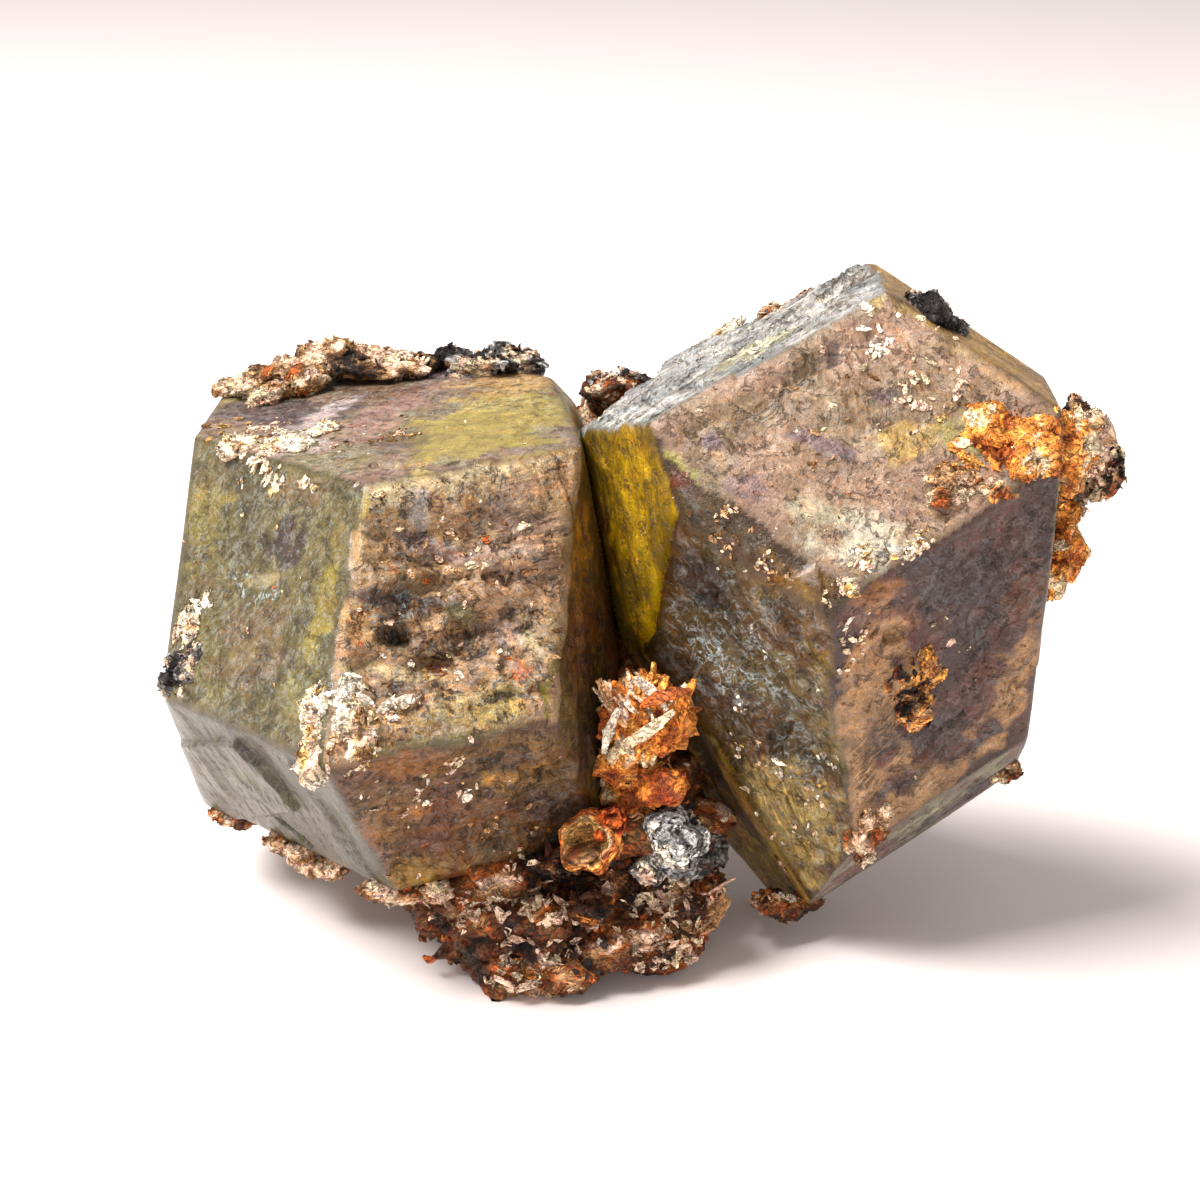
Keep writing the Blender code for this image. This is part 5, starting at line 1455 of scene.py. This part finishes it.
# Leaves of another mix: centre, radius, count, size and mix.
ACCENTS = {
    # The black leaves in the speckled patch's pits are painted shade.
    "speckled_patch": tuple((pit, 0.75, 22, 0.26, "black_leaves_and_shade") for pit, _ in PITS["speckled_patch"]),
    "pale_crest": (((-16.0, 13.0, 31.6), 1.4, 12, 0.34, "black_leaves_and_shade"),
                   ((-12.6, 12.6, 31.4), 1.8, 30, 0.34, "flakes")),
    "dark_crest": (((-6.6, 12.4, 32.0), 2.2, 60, 0.34, "black_leaves_and_shade"),),
    "grey_lobe": (((27.0, -9.4, 31.4), 1.6, 40, 0.4, "flakes"),
                  ((28.6, -8.4, 30.4), 1.6, 40, 0.34, "black_leaves_and_shade")),
    "back_wedge": (((0.6, 6.4, 31.6), 1.6, 30, 0.36, "flakes"),),
}
# Crusts of larger leaves in flat layers, and thin ones that lie on a face.
LEAFY = ("tan_crest", "pale_crest", "dark_crest", "back_wedge", "high_ridge_crumb", "grey_lobe",
         "dark_bump", "low_ridge_crumb")
THIN = ("speckled_patch", "low_patch", "edge_patch", "left_white_patch", "ridge_patch")
for count, (node, (centre, half_sizes, look, mix, stacks)) in enumerate(CRUSTS.items()):
    thin, leafy = node in THIN, node in LEAFY
    knob_count = 4 + int(0.7 * half_sizes[0] * half_sizes[1])
    sunk = np.array(centre) - direction(*look) * (0.25 if thin else 0.2) * half_sizes[2]
    bodies = knobs(sunk, half_sizes, look, knob_count, 300 + count,
                   (1.3, 1.1, 0.75) if leafy else (1.0, 1.0, 1.0))
    crust(node, bodies + list(MORE_LUMPS.get(node, ())), mix,
          int((2 if thin or leafy else 2.4) * stacks), 0.36 if leafy else 0.27,
          200 + 10 * count, flatness=0.35 if thin or leafy else 0.6,
          core=GROUNDS.get(node), shaded_hollows=PITS.get(node, ()), accents=ACCENTS.get(node, ()))

# Loose mica: single small leaves and crumbs of muscovite grown on the crystals' faces, thick on
# the worn tops and edges and rare elsewhere.


def strew(name, patches, seed):
    """Small leaves lying on the crystals' skins, in one mesh.

    A patch is a skin, a face, an oval on it, a number of stacks, a mix of colours and a size.
    """
    rng = np.random.default_rng(seed)
    shapes = []
    for count, (skin, face, oval, amount, mix, size) in enumerate(patches):
        points, owner, place, faces = skin
        where = spot(place[:, 0], place[:, 1], oval, 0.4 * layered(points, 3, seed + count))
        chance = np.where(owner == list(faces).index(face), where, 0.0)
        chance = chance * smooth(layered(points * 0.9, 3, seed + count), -0.2, 0.5)
        chosen = rng.choice(len(chance), size=amount, p=chance / chance.sum())
        out = np.tile(direction(*faces[face][:2]), (amount, 1))
        tints = np.repeat(pick_colours(mix, amount, seed + count), 2, axis=0)
        shapes.append(leaves(points[chosen], out, size * rng.lognormal(0.0, 0.5, amount), tints,
                             0.3, 0.035, seed + count, 0.16, 2))
    points, quads, triangles, tints = joined(shapes)
    piece = surface(name, np.clip(points, *WHOLE), quads, triangles, MICA["cream"],
                    {"tint": tints}, 0)
    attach(piece, "root")


strew("loose_mica_left", (
    (left_skin, "top", (1.0, -9.0, 3.6, 6.5, -20), 105, "cream", 0.22),
    (left_skin, "top", (7.5, -6.0, 2.5, 3.0, 0), 65, "cream", 0.26),
    (left_skin, "top", (0.0, 0.0, 5.0, 5.0, 0), 50, "tan", 0.18),
    (left_skin, "top", (2.0, 8.0, 7.0, 7.0, 0), 15, "cream", 0.12),
    (left_skin, "left", (2.0, 8.0, 6.0, 2.5, 0), 65, "cream", 0.24),
    (left_skin, "left", (0.0, 0.0, 9.0, 9.0, 0), 25, "tan", 0.13),
    (left_skin, "front", (0.0, -2.0, 9.0, 8.0, 0), 125, "tan", 0.17),
    (left_skin, "front", (-6.5, -8.0, 3.5, 3.0, 0), 90, "cream", 0.26),
    (left_skin, "front", (-1.5, -6.2, 2.0, 1.2, 0), 15, "cream", 0.2),
    (left_skin, "low_front", (-3.0, 6.0, 5.0, 3.0, 0), 50, "cream", 0.2),
    (left_skin, "low_front", (0.0, 0.0, 8.0, 8.0, 0), 55, "tan", 0.15),
), 700)
strew("loose_mica_right", (
    (right_skin, "top", (4.0, 9.5, 3.0, 5.0, 50), 80, "cream", 0.24),
    (right_skin, "top", (9.0, 4.5, 3.5, 3.0, 0), 100, "orange", 0.24),
    (right_skin, "top", (0.5, -2.2, 6.0, 2.2, 20), 105, "cream", 0.2),
    (right_skin, "top", (-3.0, 5.0, 12.0, 9.0, 0), 65, "tan", 0.14),
    (right_skin, "band", (0.0, 1.0, 8.0, 4.0, -38), 65, "tan", 0.15),
    (right_skin, "front", (0.0, -8.0, 5.0, 6.0, 0), 65, "cream", 0.18),
    (right_skin, "front", (0.0, 4.0, 6.0, 8.0, 0), 30, "silver", 0.15),
    (right_skin, "right", (-5.0, 3.5, 2.0, 2.5, 0), 35, "cream", 0.18),
    (right_skin, "right", (0.0, 0.0, 12.0, 12.0, 0), 25, "tan", 0.12),
    (right_skin, "top_left", (0.0, 0.0, 9.0, 9.0, 0), 50, "silver", 0.2),
), 800)

# What stands round the object: a plain pale floor, a large soft light with a weak one at the
# front, and the camera at the photo's angle. None of it belongs to the part.

floor_mesh = bpy.data.meshes.new("floor")
floor_mesh.from_pydata([(-1, -1, 0), (1, -1, 0), (1, 1, 0), (-1, 1, 0)], [], [(0, 1, 2, 3)])
floor = bpy.data.objects.new("floor", floor_mesh)
bpy.context.scene.collection.objects.link(floor)
floor_material, floor_tree, floor_shader, floor_place = new_material("floor_paper")
floor_clouds = texture(floor_tree, floor_place, 14.0, 3.0, 0.5)
link(floor_tree, blend(floor_tree, between(floor_tree, floor_clouds, 0.3, 0.7),
                       colour4((0.94, 0.85, 0.84)), colour4((0.96, 0.88, 0.87))),
     floor_shader.inputs["Base Color"])
floor_shader.inputs["Roughness"].default_value = 0.8
floor_mesh.materials.append(floor_material)


def area_light(name, place, size, power, colour=(1.0, 1.0, 1.0)):
    """A square soft light that looks at the middle of the object."""
    lamp = bpy.data.lights.new(name, "AREA")
    lamp.size = size
    lamp.energy = power
    lamp.color = colour
    made = bpy.data.objects.new(name, lamp)
    made.location = place
    towards = Vector((0, 0, 0.02)) - Vector(place)
    made.rotation_euler = towards.to_track_quat("-Z", "Y").to_euler()
    bpy.context.scene.collection.objects.link(made)


area_light("key", (-0.22, -0.08, 0.40), 0.26, 4.9, (1.0, 0.98, 0.95))
area_light("fill", (0.05, -0.45, 0.12), 0.30, 0.5)

world = bpy.data.worlds.new("studio")
world.use_nodes = True
world.node_tree.nodes["Background"].inputs["Color"].default_value = (1.0, 0.96, 0.93, 1.0)
world.node_tree.nodes["Background"].inputs["Strength"].default_value = 0.45
bpy.context.scene.world = world

camera = bpy.data.cameras.new("camera")
camera.lens = 81.0
camera.sensor_width = 36.0
camera.clip_start = 0.005
viewer = bpy.data.objects.new("camera", camera)
look_down = math.radians(20.0)
away, height = 0.165, 0.0193
viewer.location = (0.0, -away * math.cos(look_down), height + away * math.sin(look_down))
viewer.rotation_euler = (math.radians(90.0) - look_down, 0.0, 0.0)
bpy.context.scene.collection.objects.link(viewer)
bpy.context.scene.camera = viewer
bpy.context.scene.view_settings.view_transform = "Standard"
